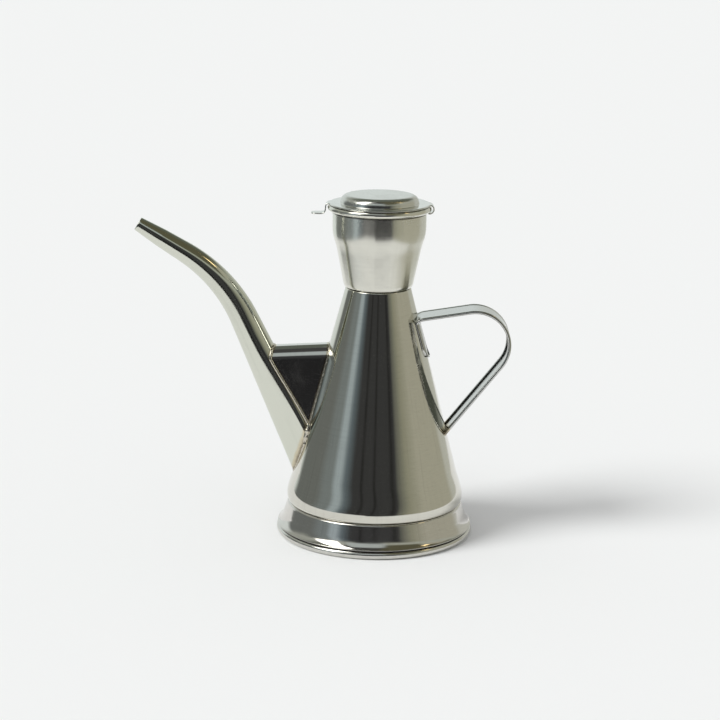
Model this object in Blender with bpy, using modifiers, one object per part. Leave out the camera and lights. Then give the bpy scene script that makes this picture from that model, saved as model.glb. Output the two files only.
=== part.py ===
"""Oil dispenser in polished stainless steel sheet, modelled as the eight pieces that it comes apart into.

A conical tank stands on a flared foot, whose flat base plate is rolled over at the rim. A tapered filler
cup with a rolled rim sits on the tank, under a stamped lid that hooks over that rim. A bent, tapered
spout leaves the tank low down, with a folded brace above it, and a strap with hemmed edges is the handle.

Metres, +Z up. The origin is the middle of the base plate's underside, on the axis of the tank. The spout
points to -X and the handle to +X.
"""

import math

import bmesh
import bpy

# Sheet, clearances and fineness
SHEET = 0.0006
LID_SHEET = 0.00055
GAP = 0.0003
OVERRUN = 0.004
MERGE = 0.00001
TURN_STEPS = 52
CURVE_STEPS = 6
WALL_STEPS = 4
TUBE_SIDES = 24

# Base plate: a flat disc whose edge is rolled up into a bead
BASE_BEAD_RADIUS = 0.0020
BASE_RADIUS = 0.0500

# Foot: a collar inside the tank, a step out, a steep skirt and a flared flange
FOOT_HEIGHT = 0.0163
FOOT_STEP = 0.0006
FOOT_SKIRT_HEIGHT = 0.0100
FOOT_FLARE = 0.0030
FOOT_FLANGE_INSET = 0.0007
FOOT_COLLAR_HEIGHT = 0.0040

# Tank: a rounded shoulder above the groove, then a straight cone
GROOVE_RADIUS = 0.0437
SHOULDER_RADIUS = 0.0448
SHOULDER_CURL = 0.0031
SHOULDER_HEIGHT = 0.0174
CONE_FOOT_RADIUS = 0.0410
CONE_TOP_RADIUS = 0.0169
CONE_HEIGHT = 0.0914
NECK_RADIUS = 0.0160
NECK_HEIGHT = 0.0018

# Filler cup: rounded bottom with a drain hole, tapered wall, upright band, rolled rim
CUP_HEIGHT = 0.0398
CUP_FLOOR_RADIUS = 0.0150
CUP_LOW_RADIUS = 0.0182
CUP_LOW_HEIGHT = 0.0050
CUP_BAND_RADIUS = 0.0234
CUP_TAPER_HEIGHT = 0.0225
CUP_BAND_START = 0.0290
CUP_HOLE_RADIUS = 0.0125
RIM_BEAD_RADIUS = 0.00155

# Lid: brim, dome, thumb tab at -X and a hook at +X
DOME_BASE_RADIUS = 0.0198
DOME_TOP_RADIUS = 0.0150
DOME_HEIGHT = 0.0043
DOME_CROWN = 0.0003
BRIM_EDGE_ANGLE = math.radians(27)
LID_TAB_WIDTH = 0.0070
TAB_ROOT_WIDTH = 0.0290
TAB_SHIFT = 0.0007
THUMB_TURN = 0.0020
THUMB_DROP = 0.0052
THUMB_REACH = 0.0090
THUMB_BEND = 0.0013
HOOK_RADIUS = 0.0025
HOOK_SHIFT = 0.0003
HOOK_SWEEP = math.radians(194)

# Spout: straight from the tank, one long bend, straight to an open tip
SPOUT_ROOT_HEIGHT = 0.0468
SPOUT_ROOT_ANGLE = math.radians(65)
SPOUT_TIP_ANGLE = math.radians(31)
SPOUT_LOWER_LENGTH = 0.0930
SPOUT_UPPER_LENGTH = 0.0503
SPOUT_BEND_RADIUS = 0.0770
SPOUT_ROOT_RADIUS = 0.0100
SPOUT_NOZZLE_RADIUS = 0.0047
SPOUT_NOZZLE_LENGTH = 0.0135
SPOUT_TIP_RADIUS = 0.00355

# Brace: one sheet folded over a round ridge, between the spout and the cone
BRACE_RIDGE_HEIGHT = 0.0973
BRACE_RIDGE_RISE = 0.0017
BRACE_RIDGE_RADIUS = 0.0054
BRACE_TOP_HALF_WIDTH = 0.0072
BRACE_LOW_HALF_WIDTH = 0.0094

# Handle: a strap with its edges folded in, a tab down the cone and a leg back to it
STRAP_WIDTH = 0.0170
STRAP_SHEET = 0.0007
STRAP_EDGE = 0.0018
STRAP_HEM_WIDTH = 0.0026
TAB_STAND_OFF = 0.0005
TAB_END_HEIGHT = 0.0918
TAB_TOP_HEIGHT = 0.1128
TAB_CORNER_RADIUS = 0.0055
TAB_BEND_RADIUS = 0.0035
STRAP_RUN_ANGLE = math.radians(9.5)
STRAP_REACH = 0.0918
STRAP_BEND_RADIUS = 0.0180
LEG_ANGLE = math.radians(52)

# Sizes that follow from the pieces set on each other
CONE_SLOPE = (CONE_FOOT_RADIUS - CONE_TOP_RADIUS) / CONE_HEIGHT
FOOT_TOP_RADIUS = GROOVE_RADIUS + FOOT_STEP
FOOT_FLANGE_RADIUS = BASE_RADIUS - FOOT_FLANGE_INSET
FOOT_SKIRT_RADIUS = FOOT_FLANGE_RADIUS - FOOT_FLARE
TANK_FOOT_Z = FOOT_HEIGHT + GAP
CONE_FOOT_Z = TANK_FOOT_Z + SHOULDER_HEIGHT
CONE_TOP_Z = CONE_FOOT_Z + CONE_HEIGHT
TANK_TOP_Z = CONE_TOP_Z + NECK_HEIGHT
CUP_FLOOR_Z = TANK_TOP_Z + GAP
RIM_Z = CUP_FLOOR_Z + CUP_HEIGHT
RIM_RADIUS = CUP_BAND_RADIUS - SHEET + RIM_BEAD_RADIUS
BRIM_TURN = RIM_BEAD_RADIUS + GAP + LID_SHEET
BRIM_Z = RIM_Z + BRIM_TURN
HOOK_X = RIM_RADIUS + HOOK_SHIFT
HOOK_Z = BRIM_Z - HOOK_RADIUS


def clear_scene():
    for obj in list(bpy.data.objects):
        bpy.data.objects.remove(obj, do_unlink=True)


def new_collection(name, hidden=False):
    collection = bpy.data.collections.new(name)
    bpy.context.scene.collection.children.link(collection)
    collection.hide_render = hidden
    return collection


def steel(name, colour, roughness):
    """A polished steel for one piece, with its colour and roughness from the photograph."""
    material = bpy.data.materials.new(name)
    material.use_nodes = True
    shader = material.node_tree.nodes["Principled BSDF"]
    shader.inputs["Base Color"].default_value = (*colour, 1)
    shader.inputs["Metallic"].default_value = 1
    shader.inputs["Roughness"].default_value = roughness
    return material


def arc(centre, radius, start, end, steps=CURVE_STEPS):
    """Points round a centre in the XZ plane. Angles run from +X towards +Z."""
    angles = [start + (end - start) * i / steps for i in range(steps + 1)]
    return [(centre[0] + radius * math.cos(a), centre[1] + radius * math.sin(a)) for a in angles]


def bend(start, start_pull, end_pull, end, steps=CURVE_STEPS):
    """A cubic curve from start to end, which leaves towards start_pull and arrives from end_pull."""
    points = []
    for i in range(steps + 1):
        t = i / steps
        shares = ((1 - t) ** 3, 3 * t * (1 - t) ** 2, 3 * t * t * (1 - t), t**3)
        corners = (start, start_pull, end_pull, end)
        points.append(tuple(sum(s * c[k] for s, c in zip(shares, corners)) for k in (0, 1)))
    return points


def cone_radius(z):
    """Outer radius of the straight cone at height z."""
    return CONE_FOOT_RADIUS - CONE_SLOPE * (z - CONE_FOOT_Z)


def add_object(name, mesh, collection, material=None):
    obj = bpy.data.objects.new(name, mesh)
    collection.objects.link(obj)
    if material:
        mesh.materials.append(material)
    else:
        obj.hide_render = True
        obj.display_type = "WIRE"
    return obj


def turned(name, profile, collection, material=None, closed=False, wall=0):
    """A profile in the XZ plane, running down its outer side, turned round the Z axis."""
    mesh = bpy.data.meshes.new(name)
    count = len(profile)
    edges = [(i, i + 1) for i in range(count - 1)]
    if closed:
        edges.append((count - 1, 0))
    mesh.from_pydata([(x, 0, z) for x, z in profile], edges, [])
    obj = add_object(name, mesh, collection, material)
    screw = obj.modifiers.new("turn", "SCREW")
    screw.steps = TURN_STEPS
    screw.render_steps = TURN_STEPS
    screw.use_merge_vertices = True
    screw.merge_threshold = MERGE
    if wall:
        solidify = obj.modifiers.new("wall", "SOLIDIFY")
        solidify.thickness = wall
        solidify.offset = -1
        solidify.use_even_offset = True
    return obj


def as_mesh(curve_object, name, collection, material=None):
    """The curve object made a mesh with welded caps, under its own place, and the curve removed."""
    bpy.context.view_layer.update()
    evaluated = curve_object.evaluated_get(bpy.context.evaluated_depsgraph_get())
    mesh = bpy.data.meshes.new_from_object(evaluated)
    work = bmesh.new()
    work.from_mesh(mesh)
    bmesh.ops.remove_doubles(work, verts=work.verts, dist=MERGE)
    bmesh.ops.recalc_face_normals(work, faces=work.faces)
    work.to_mesh(mesh)
    work.free()
    matrix = curve_object.matrix_world.copy()
    bpy.data.objects.remove(curve_object, do_unlink=True)
    mesh.materials.clear()
    obj = add_object(name, mesh, collection, material)
    obj.matrix_world = matrix
    return obj


def slab(name, outline, half_width, collection, material=None):
    """A closed outline in the XZ plane, given thickness along Y to both sides of the middle."""
    curve = bpy.data.curves.new(name, "CURVE")
    curve.dimensions = "2D"
    curve.fill_mode = "BOTH"
    curve.extrude = half_width
    spline = curve.splines.new("POLY")
    spline.points.add(len(outline) - 1)
    for point, (x, z) in zip(spline.points, outline):
        point.co = (x, z, 0, 1)
    spline.use_cyclic_u = True
    flat = bpy.data.objects.new(name + "_outline", curve)
    collection.objects.link(flat)
    flat.rotation_euler = (math.pi / 2, 0, 0)
    return as_mesh(flat, name, collection, material)


def boolean(target, other, operation="DIFFERENCE"):
    modifier = target.modifiers.new(f"{operation.lower()} {other.name}", "BOOLEAN")
    modifier.operation = operation
    modifier.object = other
    return modifier


def smooth(obj):
    obj.data.shade_smooth()
    obj.data.set_sharp_from_angle(angle=math.radians(35))


def base_plate(parts, material):
    """Flat disc with its rim rolled up into a bead, in one piece."""
    centre = (BASE_RADIUS - BASE_BEAD_RADIUS, BASE_BEAD_RADIUS)
    inner = math.asin((BASE_BEAD_RADIUS - SHEET) / BASE_BEAD_RADIUS)
    bead = arc(centre, BASE_BEAD_RADIUS, math.pi + inner, -math.pi / 2, 2 * CURVE_STEPS)
    return turned("base_plate", [(0, SHEET)] + bead + [(0, 0)], parts, material)


def foot_ring(parts, material):
    """Collar, step, skirt and flange, as one sheet. The flange lies on the base plate's bead."""
    collar = GROOVE_RADIUS - SHEET - GAP
    flange_z = 2 * BASE_BEAD_RADIUS + GAP + SHEET
    flare = FOOT_SKIRT_HEIGHT - flange_z
    lean = (FOOT_SKIRT_RADIUS - FOOT_TOP_RADIUS) / (FOOT_HEIGHT - FOOT_SKIRT_HEIGHT)
    profile = [
        (collar, FOOT_HEIGHT + FOOT_COLLAR_HEIGHT),
        (collar, FOOT_HEIGHT),
        (FOOT_TOP_RADIUS - SHEET, FOOT_HEIGHT),
        (FOOT_TOP_RADIUS, FOOT_HEIGHT - SHEET),
    ]
    profile += bend(
        (FOOT_SKIRT_RADIUS, FOOT_SKIRT_HEIGHT),
        (FOOT_SKIRT_RADIUS + lean * flare / 2, flange_z + flare / 2),
        (FOOT_SKIRT_RADIUS + flare / 3, flange_z + flare / 8),
        (FOOT_FLANGE_RADIUS, flange_z),
        WALL_STEPS,
    )
    return turned("foot_ring", profile, parts, material, wall=SHEET)


def tank_profile(grow=0):
    """Outer side of the tank, top to bottom, moved outwards by grow."""
    shoulder_z = TANK_FOOT_Z + SHOULDER_CURL
    pull = (CONE_FOOT_Z - shoulder_z) / 2
    profile = [
        (NECK_RADIUS + grow, TANK_TOP_Z),
        (NECK_RADIUS + grow, CONE_TOP_Z + NECK_HEIGHT / 2),
        (CONE_TOP_RADIUS + grow, CONE_TOP_Z),
    ]
    profile += bend(
        (CONE_FOOT_RADIUS + grow, CONE_FOOT_Z),
        (cone_radius(CONE_FOOT_Z - pull) + grow, CONE_FOOT_Z - pull),
        (SHOULDER_RADIUS + grow, shoulder_z + pull / 2),
        (SHOULDER_RADIUS + grow, shoulder_z),
    )
    profile += bend(
        (SHOULDER_RADIUS + grow, shoulder_z),
        (SHOULDER_RADIUS + grow, TANK_FOOT_Z + SHOULDER_CURL / 2),
        (GROOVE_RADIUS + SHEET + grow, TANK_FOOT_Z),
        (GROOVE_RADIUS + grow, TANK_FOOT_Z),
        4,
    )[1:]
    return profile


def tank_shell(parts, material, bore):
    tank = turned("tank_shell", tank_profile(), parts, material, wall=SHEET)
    boolean(tank, bore)
    return tank


def tank_block(cutters):
    """The whole of the tank's outer form as a solid, one gap larger, to seat pieces on its wall."""
    profile = [(0, TANK_TOP_Z)] + tank_profile(GAP) + [(0, TANK_FOOT_Z)]
    return turned("tank_block", profile, cutters)


def filler_cup(parts, material):
    """A drawn cup: floor with a hole, rounded corner, tapered wall, upright band and rolled bead."""
    low_z = CUP_FLOOR_Z + CUP_LOW_HEIGHT
    taper_z = CUP_FLOOR_Z + CUP_TAPER_HEIGHT
    band_z = CUP_FLOOR_Z + CUP_BAND_START
    slope = (CUP_BAND_RADIUS - CUP_LOW_RADIUS) / (band_z - low_z)
    taper_radius = CUP_LOW_RADIUS + slope * (taper_z - low_z)
    lean = (band_z - taper_z) / 2
    corner_pull = CUP_LOW_HEIGHT / 2

    def wall(inset):
        """The wall's profile from the band down to the floor, moved inwards by inset."""
        floor_z = CUP_FLOOR_Z + inset
        upper = bend(
            (CUP_BAND_RADIUS - inset, band_z),
            (CUP_BAND_RADIUS - inset, band_z - lean),
            (taper_radius + slope * lean - inset, taper_z + lean),
            (taper_radius - inset, taper_z),
            WALL_STEPS,
        )
        lower = bend(
            (CUP_LOW_RADIUS - inset, low_z),
            (CUP_LOW_RADIUS - slope * corner_pull - inset, low_z - corner_pull),
            (CUP_FLOOR_RADIUS + corner_pull / 2 - inset, floor_z),
            (CUP_FLOOR_RADIUS - inset, floor_z),
            WALL_STEPS,
        )
        return upper + lower

    under = math.acos((CUP_BAND_RADIUS - RIM_RADIUS) / RIM_BEAD_RADIUS)
    bead = arc((RIM_RADIUS, RIM_Z), RIM_BEAD_RADIUS, math.pi, -under, 2 * WALL_STEPS)
    profile = bead + wall(0) + [(CUP_HOLE_RADIUS, CUP_FLOOR_Z), (CUP_HOLE_RADIUS, CUP_FLOOR_Z + SHEET)]
    profile += list(reversed(wall(SHEET)))
    return turned("filler_cup", profile, parts, material, closed=True)


def lid_crown(parts, material):
    """Dome and brim, pressed from one disc. The brim's edge turns down round the cup's bead."""
    rise = DOME_HEIGHT - DOME_CROWN
    dome = bend(
        (DOME_TOP_RADIUS, BRIM_Z + rise),
        (DOME_TOP_RADIUS + DOME_HEIGHT / 2, BRIM_Z + rise),
        (DOME_BASE_RADIUS - LID_SHEET, BRIM_Z + rise / 2),
        (DOME_BASE_RADIUS, BRIM_Z),
    )
    edge = arc((RIM_RADIUS, RIM_Z), BRIM_TURN, math.pi / 2, math.pi / 2 - BRIM_EDGE_ANGLE, 3)
    profile = [(0, BRIM_Z + DOME_HEIGHT)] + dome + edge
    return turned("lid", profile, parts, material, wall=LID_SHEET)


def ribbon(path, depth):
    """Closed outline of a sheet: the path is its outer face, and depth is laid off to the right of it."""
    inner = []
    for i, (x, z) in enumerate(path):
        before = path[max(i - 1, 0)]
        after = path[min(i + 1, len(path) - 1)]
        dx, dz = after[0] - before[0], after[1] - before[1]
        length = math.hypot(dx, dz)
        inner.append((x + depth * dz / length, z - depth * dx / length))
    return path + inner[::-1]


def hook(cutters):
    """The strip at +X, from inside the brim over the bead and round to below it."""
    start = (RIM_RADIUS - LID_TAB_WIDTH / 2, BRIM_Z - MERGE)
    turn = arc((HOOK_X, HOOK_Z), HOOK_RADIUS - MERGE, math.pi / 2, math.pi / 2 - HOOK_SWEEP, 2 * CURVE_STEPS)
    return slab("hook", ribbon([start] + turn, LID_SHEET - 2 * MERGE), LID_TAB_WIDTH / 2, cutters)


def thumb_tab(cutters):
    """The strip at -X: over the bead, down beside it, and out again as a flat lip."""
    turn_x = -RIM_RADIUS - TAB_SHIFT
    outer_x = turn_x - THUMB_TURN
    turn_z = BRIM_Z - THUMB_TURN
    over = arc((turn_x, turn_z), THUMB_TURN - MERGE, math.pi / 2, math.pi, CURVE_STEPS)
    lip_z = BRIM_Z - THUMB_DROP
    out = bend(
        (outer_x, turn_z),
        (outer_x, lip_z + THUMB_BEND / 2),
        (outer_x - THUMB_BEND / 2, lip_z),
        (outer_x - 2 * THUMB_BEND, lip_z),
    )
    path = [(turn_x + LID_TAB_WIDTH / 2, BRIM_Z - MERGE)] + over + out[1:]
    path.append((turn_x - THUMB_REACH, lip_z))
    outline = ribbon(path[::-1], LID_SHEET - 2 * MERGE)
    return slab("thumb_tab", outline, LID_TAB_WIDTH / 2, cutters)


def tab_root(cutters, side):
    """The brim's outline running out to a tab: a flat wedge inside the thickness of the brim."""
    reach = RIM_RADIUS + TAB_SHIFT + LID_SHEET
    edge = RIM_RADIUS + BRIM_TURN * math.sin(BRIM_EDGE_ANGLE)
    root = math.sqrt(edge**2 - (TAB_ROOT_WIDTH / 2) ** 2)
    outline = [
        (side * (root - LID_TAB_WIDTH), -TAB_ROOT_WIDTH / 2),
        (side * root, -TAB_ROOT_WIDTH / 2),
        (side * reach, -LID_TAB_WIDTH / 2),
        (side * reach, LID_TAB_WIDTH / 2),
        (side * root, TAB_ROOT_WIDTH / 2),
        (side * (root - LID_TAB_WIDTH), TAB_ROOT_WIDTH / 2),
    ]
    name = "tab_root_hook" if side > 0 else "tab_root_thumb"
    wedge = slab(name, outline, LID_SHEET / 2 - 2 * MERGE, cutters)
    wedge.rotation_euler = (0, 0, 0)
    wedge.location = (0, 0, BRIM_Z - LID_SHEET / 2)
    return wedge


def lid(parts, cutters, material):
    """The whole lid, hung on an empty that stands on its joint's axis at the end of the hook."""
    middle = HOOK_RADIUS - LID_SHEET / 2
    end = math.pi / 2 - HOOK_SWEEP
    axis = bpy.data.objects.new("lid_hinge", None)
    parts.objects.link(axis)
    axis.location = (HOOK_X + middle * math.cos(end), 0, HOOK_Z + middle * math.sin(end))
    obj = lid_crown(parts, material)
    for piece in (tab_root(cutters, 1), tab_root(cutters, -1), hook(cutters), thumb_tab(cutters)):
        boolean(obj, piece, "UNION")
    obj.parent = axis
    obj.location = -axis.location
    return obj


def spout_line():
    """Middle line of the spout as (x, z, distance from the tip), from inside the tank to the tip."""
    root = (-cone_radius(SPOUT_ROOT_HEIGHT), SPOUT_ROOT_HEIGHT)
    up = (-math.cos(SPOUT_ROOT_ANGLE), math.sin(SPOUT_ROOT_ANGLE))
    out = (-math.cos(SPOUT_TIP_ANGLE), math.sin(SPOUT_TIP_ANGLE))
    elbow = tuple(root[k] + SPOUT_LOWER_LENGTH * up[k] for k in (0, 1))
    half_turn = (SPOUT_ROOT_ANGLE - SPOUT_TIP_ANGLE) / 2
    cut = SPOUT_BEND_RADIUS * math.tan(half_turn)
    start = tuple(elbow[k] - cut * up[k] for k in (0, 1))
    centre = (start[0] - SPOUT_BEND_RADIUS * up[1], start[1] + SPOUT_BEND_RADIUS * up[0])
    turn = arc(centre, SPOUT_BEND_RADIUS, math.pi / 2 - SPOUT_ROOT_ANGLE, math.pi / 2 - SPOUT_TIP_ANGLE, 8)
    last = SPOUT_UPPER_LENGTH - cut
    nozzle = tuple(turn[-1][k] + (last - SPOUT_NOZZLE_LENGTH) * out[k] for k in (0, 1))
    tip = tuple(turn[-1][k] + last * out[k] for k in (0, 1))
    meet = math.pi / 2 - SPOUT_ROOT_ANGLE + math.atan(CONE_SLOPE)
    tail = SPOUT_ROOT_RADIUS / math.tan(meet) + OVERRUN
    inside = tuple(root[k] - tail * up[k] for k in (0, 1))
    points = [inside, root] + turn + [nozzle, tip]
    line, run = [], 0
    for i in range(len(points) - 1, -1, -1):
        if i < len(points) - 1:
            run += math.dist(points[i], points[i + 1])
        line.append((*points[i], run))
    return line[::-1]


def spout_radius(from_tip, root_from_tip):
    """Outer radius: a quick taper over the nozzle, then an even one down to the root."""
    if from_tip < SPOUT_NOZZLE_LENGTH:
        share = from_tip / SPOUT_NOZZLE_LENGTH
        return SPOUT_TIP_RADIUS + share * (SPOUT_NOZZLE_RADIUS - SPOUT_TIP_RADIUS)
    share = (from_tip - SPOUT_NOZZLE_LENGTH) / (root_from_tip - SPOUT_NOZZLE_LENGTH)
    return SPOUT_NOZZLE_RADIUS + share * (SPOUT_ROOT_RADIUS - SPOUT_NOZZLE_RADIUS)


def tube(name, grow, past_tip, collection, material=None):
    """A round tube along the spout's line, its radius moved out by grow, run past the tip by past_tip."""
    line = spout_line()
    root_from_tip = line[1][2]
    curve = bpy.data.curves.new(name, "CURVE")
    curve.dimensions = "3D"
    curve.bevel_depth = 1
    curve.bevel_resolution = TUBE_SIDES // 2 - 2
    curve.use_fill_caps = True
    spline = curve.splines.new("POLY")
    rows = [(x, z, spout_radius(run, root_from_tip) + grow) for x, z, run in line]
    if past_tip:
        end = (-math.cos(SPOUT_TIP_ANGLE), math.sin(SPOUT_TIP_ANGLE))
        x, z, radius = rows[-1]
        rows.append((x + past_tip * end[0], z + past_tip * end[1], radius))
    spline.points.add(len(rows) - 1)
    for point, (x, z, radius) in zip(spline.points, rows):
        point.co = (x, 0, z, 1)
        point.radius = radius
    flat = bpy.data.objects.new(name + "_line", curve)
    collection.objects.link(flat)
    return as_mesh(flat, name, collection, material)


def spout_tube(parts, material, bore, block):
    spout = tube("spout_tube", 0, 0, parts, material)
    boolean(spout, bore)
    boolean(spout, block)
    return spout


def brace_wedge(name, inset, collection, material=None):
    """A triangle seen from the side, from the spout's middle line to just inside the cone, with a round
    ridge and with sides that spread downwards."""
    top = BRACE_RIDGE_HEIGHT - inset
    low = SPOUT_ROOT_HEIGHT
    root = -cone_radius(low)
    far = root - (top - low) / math.tan(SPOUT_ROOT_ANGLE)
    outline = [
        (far, top - BRACE_RIDGE_RISE / 2),
        (root + OVERRUN, low),
        (-cone_radius(top) + OVERRUN, top + BRACE_RIDGE_RISE / 2),
    ]
    wedge = slab(name, outline, BRACE_TOP_HALF_WIDTH - inset, collection, material)
    spread = (BRACE_LOW_HALF_WIDTH - inset) / (BRACE_TOP_HALF_WIDTH - inset)
    middle = (top + low) / 2
    for vertex in wedge.data.vertices:
        if vertex.co.y < middle:
            vertex.co.z *= spread
    ridge = wedge.data.attributes.new("bevel_weight_edge", "FLOAT", "EDGE")
    for edge in wedge.data.edges:
        ends = [wedge.data.vertices[i].co for i in edge.vertices]
        level = min(end.y for end in ends) > middle
        ridge.data[edge.index].value = float(level and ends[0].z * ends[1].z > 0)
    bevel = wedge.modifiers.new("ridge", "BEVEL")
    bevel.limit_method = "WEIGHT"
    bevel.width = BRACE_RIDGE_RADIUS - inset
    bevel.segments = CURVE_STEPS
    return wedge


def spout_brace(parts, cutters, material, block):
    brace = brace_wedge("spout_brace", 0, parts, material)
    clear = tube("spout_clearance", GAP, OVERRUN, cutters)
    hollow = brace_wedge("brace_hollow", SHEET, cutters)
    for cutter in (hollow, clear, block):
        boolean(brace, cutter)
    return brace


def strap_path():
    """Outer face of the strap: up the cone, round a tight bend, along, round the loop and back."""
    low = (cone_radius(TAB_END_HEIGHT) + TAB_STAND_OFF, TAB_END_HEIGHT)
    corner = (cone_radius(TAB_TOP_HEIGHT) + TAB_STAND_OFF, TAB_TOP_HEIGHT)
    run = (math.cos(STRAP_RUN_ANGLE), math.sin(STRAP_RUN_ANGLE))
    far = (STRAP_REACH, corner[1] + (STRAP_REACH - corner[0]) * run[1] / run[0])
    leg = (-math.cos(LEG_ANGLE), -math.sin(LEG_ANGLE))
    closing = math.cos(LEG_ANGLE) + CONE_SLOPE * math.sin(LEG_ANGLE)
    reach = (STRAP_REACH - cone_radius(far[1])) / closing + 2 * OVERRUN
    end = tuple(far[k] + reach * leg[k] for k in (0, 1))
    rounding = TAB_CORNER_RADIUS / math.dist(low, corner)
    path = []
    for i in range(CURVE_STEPS):
        share = (1 - math.cos(math.pi * i / (2 * CURVE_STEPS - 2))) * rounding
        path.append(tuple(low[k] + share * (corner[k] - low[k]) for k in (0, 1)))
    path += rounded(low, corner, far, TAB_BEND_RADIUS, CURVE_STEPS)
    return path + rounded(corner, far, end, STRAP_BEND_RADIUS, 2 * CURVE_STEPS) + [end]


def rounded(before, at, after, radius, steps):
    """The arc of this radius that rounds the corner at the middle one of three points, turning right."""
    heading_in = math.atan2(at[1] - before[1], at[0] - before[0])
    heading_out = math.atan2(after[1] - at[1], after[0] - at[0])
    turn = (heading_in - heading_out) % math.tau
    cut = radius * math.tan(turn / 2)
    start = (at[0] - cut * math.cos(heading_in), at[1] - cut * math.sin(heading_in))
    centre = (start[0] + radius * math.sin(heading_in), start[1] - radius * math.cos(heading_in))
    first = heading_in + math.pi / 2
    return arc(centre, radius, first, first - turn, steps)


def strap_section():
    """The strap cut across, as (offset from its middle, depth under its outer face), in order round it."""
    middle = STRAP_WIDTH / 2 - STRAP_HEM_WIDTH
    edge = STRAP_EDGE / 2
    flat = STRAP_WIDTH / 2 - edge
    right = arc((flat, edge), edge, -math.pi / 2, math.pi / 2, 4)
    across = [flat * i / 3 for i in range(-2, 3)]
    inside = [middle * i / 3 for i in range(3, -4, -1)]
    section = [(y, 0) for y in across] + right + [(middle, STRAP_EDGE)]
    section += [(y, STRAP_SHEET) for y in inside] + [(-middle, STRAP_EDGE)]
    return section + [(-y, depth) for y, depth in reversed(right)]


def handle_strap(parts, material, block):
    """The section swept along the path. At the tab it is hollowed across to follow the cone."""
    path = strap_path()
    section = strap_section()
    middle = STRAP_WIDTH / 2 - STRAP_HEM_WIDTH
    vertices, faces, run = [], [], 0
    for i, (x, z) in enumerate(path):
        before, after = path[max(i - 1, 0)], path[min(i + 1, len(path) - 1)]
        length = math.dist(before, after)
        right = ((after[1] - before[1]) / length, (before[0] - after[0]) / length)
        run += math.dist(path[i - 1], path[i]) if i else 0
        short = max(TAB_CORNER_RADIUS - run, 0)
        loss = TAB_CORNER_RADIUS - math.sqrt(TAB_CORNER_RADIUS**2 - short**2)
        squeeze = (middle - loss) / middle
        hug = max(right[0], 0) ** 2
        for y, depth in section:
            inner = min(abs(y), middle)
            y = math.copysign(abs(y) - inner + inner * squeeze, y)
            radius = cone_radius(z)
            sag = hug * (radius - math.sqrt(radius**2 - y**2))
            vertices.append((x + depth * right[0] - sag, y, z + depth * right[1]))
    count = len(section)
    for i in range(len(path) - 1):
        for j in range(count):
            k = (j + 1) % count
            faces.append((i * count + j, i * count + k, (i + 1) * count + k, (i + 1) * count + j))
    last = (len(path) - 1) * count
    faces.append(tuple(range(count))[::-1])
    faces.append(tuple(range(last, last + count)))
    mesh = bpy.data.meshes.new("handle_strap")
    mesh.from_pydata(vertices, [], faces)
    strap = add_object("handle_strap", mesh, parts, material)
    boolean(strap, block)
    return strap


def build():
    clear_scene()
    parts = new_collection("oil_dispenser")
    cutters = new_collection("cutters", hidden=True)
    bore = tube("spout_bore", -SHEET, OVERRUN, cutters)
    block = tank_block(cutters)
    pieces = [
        base_plate(parts, steel("base_steel", (0.60, 0.60, 0.57), 0.16)),
        foot_ring(parts, steel("foot_steel", (0.64, 0.64, 0.61), 0.12)),
        tank_shell(parts, steel("tank_steel", (0.64, 0.64, 0.61), 0.10), bore),
        filler_cup(parts, steel("cup_steel", (0.70, 0.69, 0.65), 0.22)),
        lid(parts, cutters, steel("lid_steel", (0.68, 0.68, 0.66), 0.14)),
        spout_tube(parts, steel("spout_steel", (0.66, 0.65, 0.62), 0.12), bore, block),
        spout_brace(parts, cutters, steel("brace_steel", (0.62, 0.62, 0.60), 0.12), block),
        handle_strap(parts, steel("strap_steel", (0.66, 0.66, 0.65), 0.18), block),
    ]
    for piece in pieces:
        smooth(piece)


build()
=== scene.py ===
"""Oil dispenser in polished stainless steel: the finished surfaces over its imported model, and the studio.

Metres, +Z up. The base plate's underside is at z = 0 on the can's axis, the spout points to -X and the
handle to +X. Lengths are written in millimetres and multiplied by MM.
"""

import math

import bmesh
import bpy
import numpy as np
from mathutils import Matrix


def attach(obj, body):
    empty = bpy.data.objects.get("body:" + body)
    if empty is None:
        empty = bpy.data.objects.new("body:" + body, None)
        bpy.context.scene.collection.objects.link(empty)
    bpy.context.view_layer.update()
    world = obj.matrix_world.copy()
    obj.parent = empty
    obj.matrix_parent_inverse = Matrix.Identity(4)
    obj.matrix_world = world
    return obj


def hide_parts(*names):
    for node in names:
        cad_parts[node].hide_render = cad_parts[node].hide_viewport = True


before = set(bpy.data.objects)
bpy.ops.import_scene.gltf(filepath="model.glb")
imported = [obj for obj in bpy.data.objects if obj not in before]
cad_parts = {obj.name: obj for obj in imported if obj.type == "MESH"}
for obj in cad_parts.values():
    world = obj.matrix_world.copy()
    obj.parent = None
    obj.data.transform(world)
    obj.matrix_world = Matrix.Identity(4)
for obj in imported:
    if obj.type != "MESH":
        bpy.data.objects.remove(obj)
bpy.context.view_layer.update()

# Base plate
# The flat bottom of the can: a disc of 0.6 mm stainless sheet whose edge is rolled up into a bead. The
# rest of the can stands on that bead.
MM = 0.001
SHEET = 0.6 * MM
BASE_RADIUS = 50.0 * MM
BASE_BEAD = 2.0 * MM
BASE_FLAT = BASE_RADIUS - BASE_BEAD - 2.2 * SHEET
TURNS = 288
EDGE_POINTS = 6
REPEAT = 0.01 * MM
MERGE = 0.002 * MM
SHARP_ANGLE = math.radians(40)
# Painted shade: the dark colour laid into the gaps under the beads, and how softly it fades in at its edges.
PAINTED_SHADE = (0.10, 0.09, 0.08)
PAINTED_SHADE_EDGE = 0.2 * MM


def stretch(start, end, steps):
    """Points from start to end in even steps: start + (end - start) * t."""
    return np.linspace(np.array(start, float), np.array(end, float), steps + 1)


def arc(centre, radius, start, end, steps):
    """Points round a centre: centre + radius * (cos a, sin a), with a in degrees from start to end."""
    angle = np.radians(np.linspace(start, end, steps + 1))
    return np.array(centre) + radius * np.column_stack([np.cos(angle), np.sin(angle)])


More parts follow.
